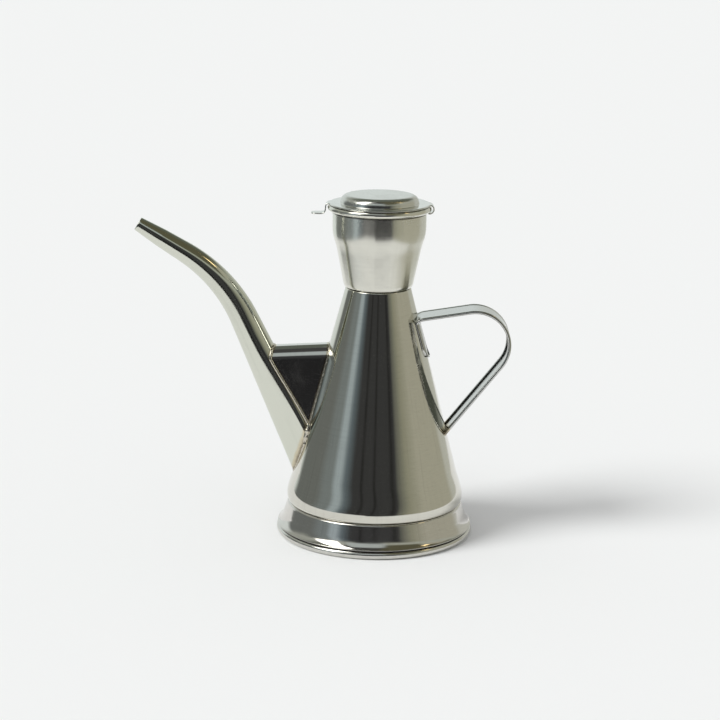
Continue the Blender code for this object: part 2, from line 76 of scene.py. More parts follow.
def bend(start, start_pull, end_pull, end, steps):
    """Cubic curve: the sum of the four points weighted by (1-t)^3, 3t(1-t)^2, 3t^2(1-t) and t^3."""
    t = np.linspace(0, 1, steps + 1)[:, None]
    weights = ((1 - t) ** 3, 3 * t * (1 - t) ** 2, 3 * t**2 * (1 - t), t**3)
    return sum(w * np.array(p, float) for w, p in zip(weights, (start, start_pull, end_pull, end)))


def joined(*runs):
    """The runs of points one after the other, without the points that repeat the one before."""
    points = np.vstack(runs)
    step = np.linalg.norm(np.diff(points, axis=0), axis=1)
    return points[np.r_[True, step > REPEAT]]


def sheet_section(outer, thickness):
    """Closed section of a sheet. Its outer face runs down, and the inner one is outer - thickness * n,
    where n is the outer face's normal. Half circles close the two edges."""
    along = np.gradient(outer, axis=0)
    along /= np.linalg.norm(along, axis=1)[:, None]
    normal = np.column_stack([-along[:, 1], along[:, 0]])
    inner = outer - thickness * normal
    angle = np.radians(np.linspace(0, 180, EDGE_POINTS + 2))[1:-1, None]
    low = (outer[-1] + inner[-1]) / 2
    low_edge = low + thickness / 2 * (np.cos(angle) * normal[-1] + np.sin(angle) * along[-1])
    top = (outer[0] + inner[0]) / 2
    top_edge = top - thickness / 2 * (np.cos(angle) * normal[0] + np.sin(angle) * along[0])
    return np.vstack([outer, low_edge, inner[::-1], top_edge])


def corners(rows, columns, wrap_rows, wrap_columns):
    """The four corners of each face of a grid, as (row, column): (0, 0), (0, 1), (1, 1) and (1, 0) from
    the face's first one. Where the grid wraps, its last faces end one past its last row or column."""
    row = np.arange(rows if wrap_rows else rows - 1)[:, None, None]
    column = np.arange(columns if wrap_columns else columns - 1)[None, :, None]
    return row + np.array([0, 0, 1, 1]), column + np.array([0, 1, 1, 0])


def surface(name, points, wrap_rows, wrap_columns, material):
    """A piece from a grid of points, rows by columns. Its UV map is (distance along a row, distance down
    a column) in metres, measured in the middle of the grid."""
    rows, columns = points.shape[:2]
    row, column = corners(rows, columns, wrap_rows, wrap_columns)
    faces = (row % rows) * columns + column % columns
    width = np.linalg.norm(np.diff(points[rows // 2], axis=0), axis=1).mean()
    length = np.linalg.norm(np.diff(points[:, columns // 2], axis=0), axis=1).mean()
    flat = np.stack([column * width + 0 * row, row * length + 0 * column], -1)
    mesh = bpy.data.meshes.new(name)
    mesh.from_pydata(points.reshape(-1, 3), [], faces.reshape(-1, 4).tolist())
    mesh.uv_layers.new(name="Surface")
    mesh.uv_layers["Surface"].data.foreach_set("uv", flat.reshape(-1).astype(np.float32))
    return finished(name, mesh, material)


def finished(name, mesh, material):
    """The mesh as a piece: seams and poles closed, faces outwards, smooth but for its sharp edges."""
    work = bmesh.new()
    work.from_mesh(mesh)
    bmesh.ops.remove_doubles(work, verts=work.verts, dist=MERGE)
    bmesh.ops.recalc_face_normals(work, faces=work.faces)
    work.to_mesh(mesh)
    work.free()
    mesh.shade_smooth()
    mesh.set_sharp_from_angle(angle=SHARP_ANGLE)
    mesh.materials.append(material)
    obj = bpy.data.objects.new(name, mesh)
    bpy.context.scene.collection.objects.link(obj)
    return obj


def turned(name, section, material):
    """A closed section turned round the axis: (r cos a, r sin a, z) for each point (r, z) of it."""
    angle = np.linspace(0, math.tau, TURNS, endpoint=False)[:, None]
    r, z = section[:, 0], section[:, 1]
    points = np.stack([r * np.cos(angle), r * np.sin(angle), z + 0 * angle], -1)
    return surface(name, points, True, True, material)


class Wire:
    """A socket's output. Arithmetic on it adds Math nodes, and add() makes any other node."""

    def __init__(self, tree, socket=None):
        self.tree = tree
        self.socket = socket

    def add(self, kind, inputs, output=0, stops=(), **settings):
        """A node of this kind: its settings first, then the values or links of its sockets."""
        node = self.tree.nodes.new(kind)
        for name, value in settings.items():
            setattr(node, name, value)
        for place, (at, colour) in enumerate(stops):
            ramp = node.color_ramp.elements
            element = ramp[place] if place < 2 else ramp.new(at)
            element.position = at
            element.color = (*colour, 1)
        for name, value in inputs.items():
            if isinstance(value, Wire):
                self.tree.links.new(value.socket, node.inputs[name])
            else:
                node.inputs[name].default_value = value
        return Wire(self.tree, node.outputs[output] if node.outputs else None)

    def maths(self, operation, first, second=0.0):
        return self.add("ShaderNodeMath", {0: first, 1: second}, operation=operation)

    def __add__(self, other):
        return self.maths("ADD", self, other)

    def __mul__(self, other):
        return self.maths("MULTIPLY", self, other)

    def __sub__(self, other):
        return self.maths("SUBTRACT", self, other)

    def __rsub__(self, other):
        return self.maths("SUBTRACT", other, self)

    def __truediv__(self, other):
        return self.maths("DIVIDE", self, other)

    __radd__ = __add__
    __rmul__ = __mul__

    def between(self, low, high):
        """0 below low, 1 above high, and smooth in between."""
        inputs = {"Value": self, "From Min": low, "From Max": high}
        return self.add("ShaderNodeMapRange", inputs, interpolation_type="SMOOTHSTEP")

    def blend(self, share, other):
        """This colour where share is 0, and the other where it is 1. Mix has its colour as output 2."""
        inputs = {"Factor": share, "A": self, "B": other}
        return self.add("ShaderNodeMix", inputs, output=2, data_type="RGBA")

    def noise(self, vector, scale, detail):
        inputs = {"Vector": vector, "Scale": scale, "Detail": detail}
        return self.add("ShaderNodeTexNoise", inputs)

    def colour(self, red_green_blue):
        """One plain colour."""
        plain = self.add("ShaderNodeRGB", {})
        plain.socket.default_value = (*red_green_blue, 1)
        return plain

    def parts(self):
        """The x, y and z of this vector."""
        split = self.add("ShaderNodeSeparateXYZ", {"Vector": self})
        return [Wire(self.tree, output) for output in split.socket.node.outputs]

    def feed(self, socket):
        """Links this value to a socket of a shader or of the output."""
        self.tree.links.new(self.socket, socket)


def new_material(name):
    """An empty node material, as (material, the start of its wiring, its shader)."""
    material = bpy.data.materials.new(name)
    material.use_nodes = True
    shader = material.node_tree.nodes["Principled BSDF"]
    shader.inputs["Metallic"].default_value = 1.0
    return material, Wire(material.node_tree), shader


def polish(wire, shader, colour, roughness, height):
    """Feeds the shader with the colour, the roughness and a bump whose height is in metres."""
    bump = wire.add("ShaderNodeBump", {"Height": height, "Distance": 1.0, "Strength": 1.0})
    colour.feed(shader.inputs["Base Color"])
    roughness.feed(shader.inputs["Roughness"])
    bump.feed(shader.inputs["Normal"])


def turned_steel(name, colour, roughness, lines, waves, above=None, painted_shade_band=None):
    """Polished steel off a lathe. Hair lines follow (distance from the axis, height), fine streaks run up
    the sheet at one angle, and slow waves and wiped smears break the mirror. The depths of lines and waves
    are in metres. Where above is given, as (low, high, roughness), the finish goes over to that roughness
    between those two heights. Where a shade band is given, as (low, high), painted shade darkens the
    colour between those two heights, unevenly with the smears."""
    material, wire, shader = new_material(name)
    place = wire.add("ShaderNodeTexCoord", {}, output="Object")
    x, y, z = place.parts()
    radius = wire.maths("SQRT", x * x + y * y + 1e-8)
    ring_place = wire.add("ShaderNodeCombineXYZ", {"X": radius, "Y": z, "Z": x * 0.02 + y * 0.03})
    rings = wire.noise(ring_place, scale=5200.0, detail=3.0)
    turn_place = wire.add("ShaderNodeCombineXYZ", {"X": x / radius, "Y": y / radius, "Z": z * 0.8})
    streaks = wire.noise(turn_place, scale=34.0, detail=4.0)
    smears = wire.noise(place, scale=70.0, detail=3.0)
    slow = wire.noise(place, scale=24.0, detail=1.0)
    rough = roughness + (rings - 0.5) * 0.10 + smears.between(0.45, 0.75) * 0.05 + (streaks - 0.5) * 0.06
    if above:
        low, high, finish = above
        rough = rough + z.between(low, high) * (finish - roughness)
    dull = tuple(0.86 * c for c in colour)
    wear = streaks.between(0.5, 0.8) * 0.5 + smears.between(0.5, 0.9) * 0.3 + rings.between(0.45, 0.7) * 0.5
    steel_colour = wire.colour(colour).blend(wear, (*dull, 1))
    # Painted shade: between the two heights the colour goes dark, unevenly, in place of the shadow in a gap.
    if painted_shade_band:
        low, high = painted_shade_band
        shade_groove = z.between(low - PAINTED_SHADE_EDGE, low + PAINTED_SHADE_EDGE)
        shade_groove = shade_groove * (1 - z.between(high - PAINTED_SHADE_EDGE, high + PAINTED_SHADE_EDGE))
        steel_colour = steel_colour.blend(shade_groove * (0.6 + smears * 0.4), (*PAINTED_SHADE, 1))
    polish(wire, shader, steel_colour, rough, rings * lines + streaks * waves * 0.12 + slow * waves)
    return material


base_bead = arc((BASE_RADIUS - BASE_BEAD, BASE_BEAD), BASE_BEAD, 225, -90, steps=48)
base_section = joined(
    stretch((0, SHEET), (BASE_FLAT, SHEET), steps=24),
    base_bead,
    stretch((BASE_RADIUS - BASE_BEAD, 0), (0, 0), steps=24),
)
base_steel = turned_steel("base_metal", colour=(0.66, 0.65, 0.61), roughness=0.14, lines=2e-7, waves=3e-5)
base = turned("base_disc", base_section, base_steel)
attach(base, "can")
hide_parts("base_plate")

# Foot
# A spun ring of the same sheet that carries the tank. Its flange lies on the base plate's bead, a hollow
# flare leads up to a steep skirt, and a collar at the top goes up inside the tank's lower lip.
GAP = 0.3 * MM
GROOVE_RADIUS = 43.7 * MM
FOOT_HEIGHT = 16.3 * MM
FLANGE_Z = 2 * BASE_BEAD + GAP + SHEET
FLANGE_RADIUS = BASE_RADIUS - 0.7 * MM
SKIRT_Z = 10.0 * MM
SKIRT_RADIUS = FLANGE_RADIUS - 3.0 * MM
FLARE_PULL = 1.6 * MM
FOOT_STEP = 0.6 * MM
FOOT_TOP_RADIUS = GROOVE_RADIUS + FOOT_STEP
COLLAR_RADIUS = GROOVE_RADIUS - SHEET - GAP
COLLAR_FOOT_Z = FOOT_HEIGHT + 0.6 * MM
COLLAR_TOP_Z = FOOT_HEIGHT + 4.0 * MM

skirt_lean = (SKIRT_RADIUS - FOOT_TOP_RADIUS) / (FOOT_HEIGHT - SKIRT_Z)
foot_outer = joined(
    stretch((COLLAR_RADIUS, COLLAR_TOP_Z), (COLLAR_RADIUS, COLLAR_FOOT_Z), steps=8),
    bend(
        (COLLAR_RADIUS, COLLAR_FOOT_Z),
        (COLLAR_RADIUS, FOOT_HEIGHT),
        (FOOT_TOP_RADIUS, FOOT_HEIGHT),
        (FOOT_TOP_RADIUS + 0.2 * MM, FOOT_HEIGHT - 0.9 * MM),
        steps=14,
    ),
    stretch((FOOT_TOP_RADIUS + 0.25 * MM, FOOT_HEIGHT - 1.1 * MM), (SKIRT_RADIUS, SKIRT_Z), steps=16),
    bend(
        (SKIRT_RADIUS, SKIRT_Z),
        (SKIRT_RADIUS + skirt_lean * FLARE_PULL, SKIRT_Z - FLARE_PULL),
        (FLANGE_RADIUS - FLARE_PULL, FLANGE_Z + 1.2 * MM),
        (FLANGE_RADIUS - 0.2 * MM, FLANGE_Z + 0.12 * MM),
        steps=32,
    ),
    stretch((FLANGE_RADIUS - 0.15 * MM, FLANGE_Z + 0.05 * MM), (FLANGE_RADIUS, FLANGE_Z), steps=2),
)
# The foot's flange gets painted shade on its underside, where it lies on the base plate's bead.
foot_steel = turned_steel(
    "foot_metal",
    colour=(0.68, 0.66, 0.62),
    roughness=0.09,
    lines=1.2e-7,
    waves=3e-5,
    painted_shade_band=(0, FLANGE_Z - 0.3 * MM),
)
foot = turned("foot_ring_sheet", sheet_section(foot_outer, SHEET), foot_steel)
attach(foot, "can")
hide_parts("foot_ring")

# Tank
# One cone of sheet, drawn out at its foot into a rounded shoulder that turns in over the foot's collar.
# At the top its edge turns in under the cup. It is polished until it mirrors the room.
TANK_FOOT_Z = FOOT_HEIGHT + GAP
SHOULDER_RADIUS = 44.8 * MM
SHOULDER_Z = TANK_FOOT_Z + 3.1 * MM
CONE_FOOT_Z = TANK_FOOT_Z + 17.4 * MM
CONE_FOOT_RADIUS = 41.0 * MM
CONE_TOP_RADIUS = 16.9 * MM
CONE_HEIGHT = 91.4 * MM
CONE_TOP_Z = CONE_FOOT_Z + CONE_HEIGHT
TANK_TOP_Z = CONE_TOP_Z + 1.8 * MM
CONE_EDGE_Z = TANK_TOP_Z - 0.7 * MM
NECK_RADIUS = 16.0 * MM
CONE_SLOPE = (CONE_FOOT_RADIUS - CONE_TOP_RADIUS) / CONE_HEIGHT


def cone_radius(z):
    """Outer radius of the tank's cone at height z: foot radius - slope * (z - foot height)."""
    return CONE_FOOT_RADIUS - CONE_SLOPE * (z - CONE_FOOT_Z)


shoulder_pull = (CONE_FOOT_Z - SHOULDER_Z) / 2
tank_outer = joined(
    bend(
        (NECK_RADIUS - 0.6 * MM, TANK_TOP_Z),
        (NECK_RADIUS, TANK_TOP_Z),
        (cone_radius(TANK_TOP_Z), TANK_TOP_Z - 0.1 * MM),
        (cone_radius(TANK_TOP_Z - 0.5 * MM), TANK_TOP_Z - 0.5 * MM),
        steps=10,
    ),
    stretch((cone_radius(CONE_EDGE_Z), CONE_EDGE_Z), (CONE_FOOT_RADIUS, CONE_FOOT_Z), steps=90),
    bend(
        (CONE_FOOT_RADIUS, CONE_FOOT_Z),
        (cone_radius(CONE_FOOT_Z - shoulder_pull), CONE_FOOT_Z - shoulder_pull),
        (SHOULDER_RADIUS, SHOULDER_Z + shoulder_pull / 2),
        (SHOULDER_RADIUS, SHOULDER_Z),
        steps=40,
    ),
    bend(
        (SHOULDER_RADIUS, SHOULDER_Z),
        (SHOULDER_RADIUS, TANK_FOOT_Z + 1.5 * MM),
        (GROOVE_RADIUS + SHEET, TANK_FOOT_Z + 0.15 * MM),
        (GROOVE_RADIUS, TANK_FOOT_Z),
        steps=24,
    ),
)
tank_steel = turned_steel("tank_metal", colour=(0.68, 0.665, 0.60), roughness=0.07, lines=1.3e-7, waves=4e-5)
tank = turned("tank_cone", sheet_section(tank_outer, SHEET), tank_steel)
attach(tank, "can")
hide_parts("tank_shell")

# Filler cup
# A drawn cup that works as the funnel: flat floor with a drain hole, small rounded corner, tapered wall,
# an upright band, and a rim rolled outwards into a bead. Its finish is softer than the tank's.
CUP_FLOOR_Z = TANK_TOP_Z + GAP
CUP_HEIGHT = 39.8 * MM
CUP_FLOOR_RADIUS = 16.0 * MM
CUP_HOLE_RADIUS = 12.5 * MM
CUP_LOW_RADIUS = 17.65 * MM
CUP_LOW_Z = CUP_FLOOR_Z + 2.5 * MM
CUP_TAPER_Z = CUP_FLOOR_Z + 18.0 * MM
CUP_BAND_Z = CUP_FLOOR_Z + 31.0 * MM
CUP_BAND_RADIUS = 23.4 * MM
RIM_BEAD = 1.55 * MM
RIM_RADIUS = CUP_BAND_RADIUS - SHEET + RIM_BEAD
RIM_Z = CUP_FLOOR_Z + CUP_HEIGHT
CUP_CORNER = 1.4 * MM
CUP_WALL_TOP_Z = RIM_Z - 1.2 * MM

cup_slope = (CUP_BAND_RADIUS - CUP_LOW_RADIUS) / (CUP_BAND_Z - CUP_LOW_Z)
cup_taper_radius = CUP_LOW_RADIUS + cup_slope * (CUP_TAPER_Z - CUP_LOW_Z)
cup_lean = (CUP_BAND_Z - CUP_TAPER_Z) / 2
cup_outer = joined(
    stretch((CUP_BAND_RADIUS, CUP_WALL_TOP_Z), (CUP_BAND_RADIUS, CUP_BAND_Z), steps=12),
    bend(
        (CUP_BAND_RADIUS, CUP_BAND_Z),
        (CUP_BAND_RADIUS, CUP_BAND_Z - cup_lean),
        (cup_taper_radius + cup_slope * cup_lean, CUP_TAPER_Z + cup_lean),
        (cup_taper_radius, CUP_TAPER_Z),
        steps=24,
    ),
    stretch((cup_taper_radius, CUP_TAPER_Z), (CUP_LOW_RADIUS, CUP_LOW_Z), steps=20),
    bend(
        (CUP_LOW_RADIUS, CUP_LOW_Z),
        (CUP_LOW_RADIUS - cup_slope * CUP_CORNER, CUP_LOW_Z - CUP_CORNER),
        (CUP_FLOOR_RADIUS + 0.9 * MM, CUP_FLOOR_Z),
        (CUP_FLOOR_RADIUS, CUP_FLOOR_Z),
        steps=24,
    ),
    stretch((CUP_FLOOR_RADIUS - 0.2 * MM, CUP_FLOOR_Z), (CUP_HOLE_RADIUS, CUP_FLOOR_Z), steps=6),
)
cup_sheet = sheet_section(cup_outer, SHEET)
cup_walls = cup_sheet[: 2 * len(cup_outer) + EDGE_POINTS]
cup_under = math.degrees(math.acos((CUP_BAND_RADIUS - RIM_RADIUS) / RIM_BEAD))
cup_rim = arc((RIM_RADIUS, RIM_Z), RIM_BEAD, 180, -cup_under, steps=48)
# The cup gets painted shade on the band just under the rim's bead.
cup_steel = turned_steel(
    "cup_metal",
    colour=(0.75, 0.74, 0.67),
    roughness=0.22,
    lines=2.5e-7,
    waves=1.2e-5,
    above=(RIM_Z - RIM_BEAD - 0.3 * MM, RIM_Z - RIM_BEAD, 0.08),
    painted_shade_band=(RIM_Z - 2.5 * MM, RIM_Z - 1.5 * MM),
)
cup_shader = cup_steel.node_tree.nodes["Principled BSDF"]
cup_shader.inputs["Anisotropic"].default_value = 0.75
cup_shader.inputs["Anisotropic Rotation"].default_value = 0.25
cup = turned("cup", np.vstack([cup_rim, cup_walls]), cup_steel)
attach(cup, "can")
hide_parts("filler_cup")

# Lid
# One stamped sheet: a low dome, nearly flat on top, a flat brim turned down at its edge, and a tab at each
# end of it. One tab curls round the cup's bead as the hook, and the other is the thumb lip.
LID_SHEET = 0.55 * MM
BRIM_TURN = RIM_BEAD + GAP + LID_SHEET
BRIM_Z = RIM_Z + BRIM_TURN
DOME_HEIGHT = 4.3 * MM
DOME_TOP = (15.2 * MM, 4.2 * MM)
DOME_FOOT = (19.55 * MM, 0.35 * MM)
DOME_BASE_RADIUS = 19.9 * MM
BRIM_END = 63
TAB_HALF = 3.5 * MM
TAB_ROOT_HALF = 14.5 * MM
TAB_START = RIM_RADIUS + 0.7 * MM + LID_SHEET
HOOK_RADIUS = 2.5 * MM
HOOK_X = RIM_RADIUS + 0.3 * MM
HOOK_END = -104
HOOK_TIP = 1.6 * MM
THUMB_TURN = 2.0 * MM
THUMB_X = RIM_RADIUS + 0.7 * MM
THUMB_END_X = -THUMB_X - 8.9 * MM
THUMB_DROP = 5.2 * MM
THUMB_CURL = 0.6 * MM
THUMB_TIP = 2.4 * MM

lid_profile = joined(
    bend((0, DOME_HEIGHT), (7.0 * MM, DOME_HEIGHT), (12.0 * MM, 4.28 * MM), DOME_TOP, steps=26),
    bend(DOME_TOP, (17.9 * MM, 4.15 * MM), (19.3 * MM, 2.9 * MM), DOME_FOOT, steps=36),
    bend(DOME_FOOT, (19.58 * MM, 0.12 * MM), (19.68 * MM, 0), (DOME_BASE_RADIUS, 0), steps=6),
    stretch((DOME_BASE_RADIUS + 0.1 * MM, 0), (RIM_RADIUS, 0), steps=10),
    arc((RIM_RADIUS, -BRIM_TURN), BRIM_TURN, 90, BRIM_END, steps=8),
)


def lid_edge(angle):
    """How far out the brim reaches at an angle from X: its circle, or where it is further out the straight
    line from the side of the brim to the tab, n.p / (n . (cos a, sin a)), or the tab's end, start / cos a."""
    circle = lid_profile[-1, 0]
    root = np.array([math.sqrt(circle**2 - TAB_ROOT_HALF**2), TAB_ROOT_HALF])
    tip = np.array([TAB_START, TAB_HALF])
    normal = np.array([root[1] - tip[1], tip[0] - root[0]])
    side = np.abs(np.cos(angle)), np.abs(np.sin(angle))
    line = normal @ tip / np.maximum(normal[0] * side[0] + normal[1] * side[1], 1e-9)
    reach = np.maximum(circle, np.where(side[1] / side[0] < root[1] / root[0], line, circle))
    return np.where(side[1] / side[0] < TAB_HALF / TAB_START, TAB_START / side[0], reach)


# The lid's rows are circles from the crown outwards. From the dome's foot on they are drawn out to the edge,
# in even shares. Where the tabs begin they drop by r - sqrt(r^2 - d^2), with d the way past the turn's start.
lid_angle = np.linspace(0, math.tau, TURNS, endpoint=False)
tab_angle = math.atan2(TAB_HALF, TAB_START)
tab_columns = 2 * round(tab_angle / (math.tau / TURNS)) + 1
lid_r, lid_z = lid_profile[:, 0], lid_profile[:, 1]
lid_out = np.clip((lid_r - DOME_BASE_RADIUS) / (lid_r[-1] - DOME_BASE_RADIUS), 0, 1)
lid_reach = lid_r + lid_out * (lid_edge(lid_angle)[:, None] - lid_r[-1])
lid_x = lid_reach * np.cos(lid_angle)[:, None]
lid_y = lid_reach * np.sin(lid_angle)[:, None]
tab_width = np.clip((lid_edge(lid_angle)[:, None] - lid_r[-1]) / (TAB_START - lid_r[-1]), 0, 1)
hook_drop = HOOK_RADIUS - np.sqrt(HOOK_RADIUS**2 - np.clip(lid_x - HOOK_X, 0, HOOK_RADIUS) ** 2)
thumb_drop = THUMB_TURN - np.sqrt(THUMB_TURN**2 - np.clip(-lid_x - THUMB_X, 0, THUMB_TURN) ** 2)
lid_drop = np.where(lid_z < 0, lid_z * (1 - tab_width), lid_z) - hook_drop - thumb_drop
lid_grid = np.stack([lid_x, lid_y, BRIM_Z + lid_drop], -1)


def run_along(path):
    """Distance along a path at each of its points: the sum of the steps up to it."""
    return np.r_[0, np.cumsum(np.linalg.norm(np.diff(path, axis=0), axis=1))]


def tab_grid(path, first_row, tip_round):
    """A tab from the brim's last row along a path of (x, z), as (x, y, z). Its half width narrows to the tip
    as the square root of 1 - 0.98 (1 - d / r)^2, with d the distance to the tip and r the corner's radius."""
    run = run_along(path)
    short = np.clip(1 - (run[-1] - run) / tip_round, 0, 1)
    share = 1 - (1 - np.sqrt(1 - 0.98 * short**2)) * tip_round / TAB_HALF
    y = first_row[None, :, 1] * share[:, None]
    return np.stack([path[:, :1] + 0 * y, y, path[:, 1:] + 0 * y], -1)


hook_start = math.degrees(math.acos((TAB_START - HOOK_X) / HOOK_RADIUS))
hook_path = arc((HOOK_X, BRIM_Z - HOOK_RADIUS), HOOK_RADIUS, hook_start, HOOK_END, steps=48)
thumb_start = 180 - math.degrees(math.acos((TAB_START - THUMB_X) / THUMB_TURN))
thumb_side = -THUMB_X - THUMB_TURN
thumb_lip = BRIM_Z - THUMB_DROP
thumb_path = joined(
    arc((-THUMB_X, BRIM_Z - THUMB_TURN), THUMB_TURN, thumb_start, 180, steps=20),
    bend(
        (thumb_side, BRIM_Z - THUMB_TURN),
        (thumb_side, thumb_lip + THUMB_CURL),
        (thumb_side - THUMB_CURL, thumb_lip),
        (thumb_side - 2.6 * MM, thumb_lip),
        steps=28,
    ),
    stretch((thumb_side - 2.8 * MM, thumb_lip), (THUMB_END_X, thumb_lip), steps=24),
)


def lid_mesh():
    """Brim and both tabs as one grid mesh. The tabs start from the brim's own edge points."""
    half = tab_columns // 2
    hook_columns = np.arange(-half, half + 1) % TURNS
    thumb_columns = (TURNS // 2 + np.arange(-half, half + 1)) % TURNS
    hook = tab_grid(hook_path, lid_grid[hook_columns, -1], HOOK_TIP)
    thumb = tab_grid(thumb_path, lid_grid[thumb_columns, -1], THUMB_TIP)
    hook[0] = lid_grid[hook_columns, -1]
    thumb[0] = lid_grid[thumb_columns, -1]
    mesh = bpy.data.meshes.new("lid_sheet")
    points, faces, start = [], [], 0
    for grid, wrap in ((lid_grid, True), (hook, False), (thumb, False)):
        rows, columns = grid.shape[:2]
        row, column = corners(rows, columns, wrap, False)
        faces.append(start + ((row % rows) * columns + column).reshape(-1, 4))
        points.append(grid.reshape(-1, 3))
        start += rows * columns
    mesh.from_pydata(np.vstack(points), [], np.vstack(faces).tolist())
    return mesh


lid_steel = turned_steel(
    "lid_metal",
    colour=(0.68, 0.68, 0.64),
    roughness=0.09,
    lines=1.2e-7,
    waves=2e-5,
    above=(BRIM_Z + 0.4 * MM, BRIM_Z + 1.4 * MM, 0.22),
)
lid = finished("lid_sheet", lid_mesh(), lid_steel)
lid_thickness = lid.modifiers.new("sheet", "SOLIDIFY")
lid_thickness.thickness = LID_SHEET
lid_thickness.offset = -1
lid_thickness.use_even_offset = True
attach(lid, "lid")
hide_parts("lid")

# Spout
# A long tapered tube, rolled from sheet and bent once. Its root is cut to the cone and welded on, which
# has left a straw-coloured heat tint there, and its tip is cut square.
SPOUT_ROOT_Z = 46.8 * MM
SPOUT_ROOT_ANGLE = math.radians(65)
SPOUT_TIP_ANGLE = math.radians(31)
SPOUT_BEND_RADIUS = 77.0 * MM
SPOUT_LOWER = 93.0 * MM
SPOUT_UPPER = 50.3 * MM
SPOUT_ROOT_RADIUS = 10.0 * MM
SPOUT_NOZZLE_RADIUS = 4.7 * MM
SPOUT_NOZZLE = 13.5 * MM
SPOUT_TIP_RADIUS = 3.55 * MM
SPOUT_SIDES = 96
SPOUT_ROWS = 220
SPOUT_FLAT = 62.0 * MM
SPOUT_SWELL = 0.36
SPOUT_SINK = 0.5 * MM
TIP_ROUND = 0.3 * MM
ROOT_TINT = 2.6 * MM
STRAW_TINT = (0.60, 0.52, 0.36)
BROWN_TINT = (0.16, 0.13, 0.10)

spout_cut = SPOUT_BEND_RADIUS * math.tan((SPOUT_ROOT_ANGLE - SPOUT_TIP_ANGLE) / 2)
spout_straight = SPOUT_LOWER - spout_cut
spout_turn = SPOUT_BEND_RADIUS * (SPOUT_ROOT_ANGLE - SPOUT_TIP_ANGLE)
spout_length = spout_straight + spout_turn + SPOUT_UPPER - spout_cut
spout_root = np.array([-cone_radius(SPOUT_ROOT_Z), SPOUT_ROOT_Z])


def spout_place(run):
    """Middle line at a distance run from the root, as (x, z, slope angle): straight, then an arc whose
    angle falls by 1 / bend radius, then straight. The arc is start + radius * (sin or cos differences)."""
    arc_run = np.clip(run - spout_straight, 0, spout_turn)
    last_run = np.maximum(run - spout_straight - spout_turn, 0)
    first_run = np.minimum(run, spout_straight)
    angle = SPOUT_ROOT_ANGLE - arc_run / SPOUT_BEND_RADIUS
    x = spout_root[0] - first_run * math.cos(SPOUT_ROOT_ANGLE)
    x = x - SPOUT_BEND_RADIUS * (math.sin(SPOUT_ROOT_ANGLE) - np.sin(angle))
    x = x - last_run * math.cos(SPOUT_TIP_ANGLE)
    z = spout_root[1] + first_run * math.sin(SPOUT_ROOT_ANGLE)
    z = z + SPOUT_BEND_RADIUS * (np.cos(angle) - math.cos(SPOUT_ROOT_ANGLE))
    z = z + last_run * math.sin(SPOUT_TIP_ANGLE)
    return x, z, angle


def spout_radius(run):
    """Outer radius: even taper from the root, and a quicker one over the nozzle."""
    from_tip = spout_length - run
    nozzle = SPOUT_TIP_RADIUS + from_tip / SPOUT_NOZZLE * (SPOUT_NOZZLE_RADIUS - SPOUT_TIP_RADIUS)
    share = (from_tip - SPOUT_NOZZLE) / (spout_length - SPOUT_NOZZLE)
    body = SPOUT_NOZZLE_RADIUS + share * (SPOUT_ROOT_RADIUS - SPOUT_NOZZLE_RADIUS)
    return np.minimum(nozzle, body)


def spout_form(run):
    """The section's power p and swell k, for |n|^p + |y / (1 + k n / r)|^p = r^p: a circle (2, 0) but for
    the root, where its sides are flatter and it is wider on the brace's side (3, 0.36)."""
    near = np.clip(1 - run / SPOUT_FLAT, 0, 1)
    share = near**2 * (3 - 2 * near)
    return 2 + share, SPOUT_SWELL * share


def spout_point(run, side, inset=0.0):
    """Point of the tube: middle line + n * normal + y * Y, with n = reach * cos side and
    y = reach * sin side * (1 + k cos side). The reach is radius * (|cos side|^p + |sin side|^p)^(-1/p) less
    the inset."""
    x, z, angle = spout_place(run)
    power, swell = spout_form(run)
    squared = (np.abs(np.cos(side)) ** power + np.abs(np.sin(side)) ** power) ** (-1 / power)
    reach = spout_radius(run) * squared - inset
    out = reach * np.cos(side)
    across = reach * np.sin(side) * (1 + swell * np.cos(side))
    return np.stack([x + out * np.sin(angle), across, z + out * np.cos(angle)], -1)


def spout_foot(side):
    """Distance from the root at which each line of the tube meets the cone, by Newton's steps on
    the distance from the axis - cone radius."""
    run = np.zeros_like(side)
    closing = math.cos(SPOUT_ROOT_ANGLE) + CONE_SLOPE * math.sin(SPOUT_ROOT_ANGLE)
    for _ in range(8):
        x, y, z = np.moveaxis(spout_point(run, side), -1, 0)
        run = run - (np.hypot(x, y) - cone_radius(z)) / closing
    return run


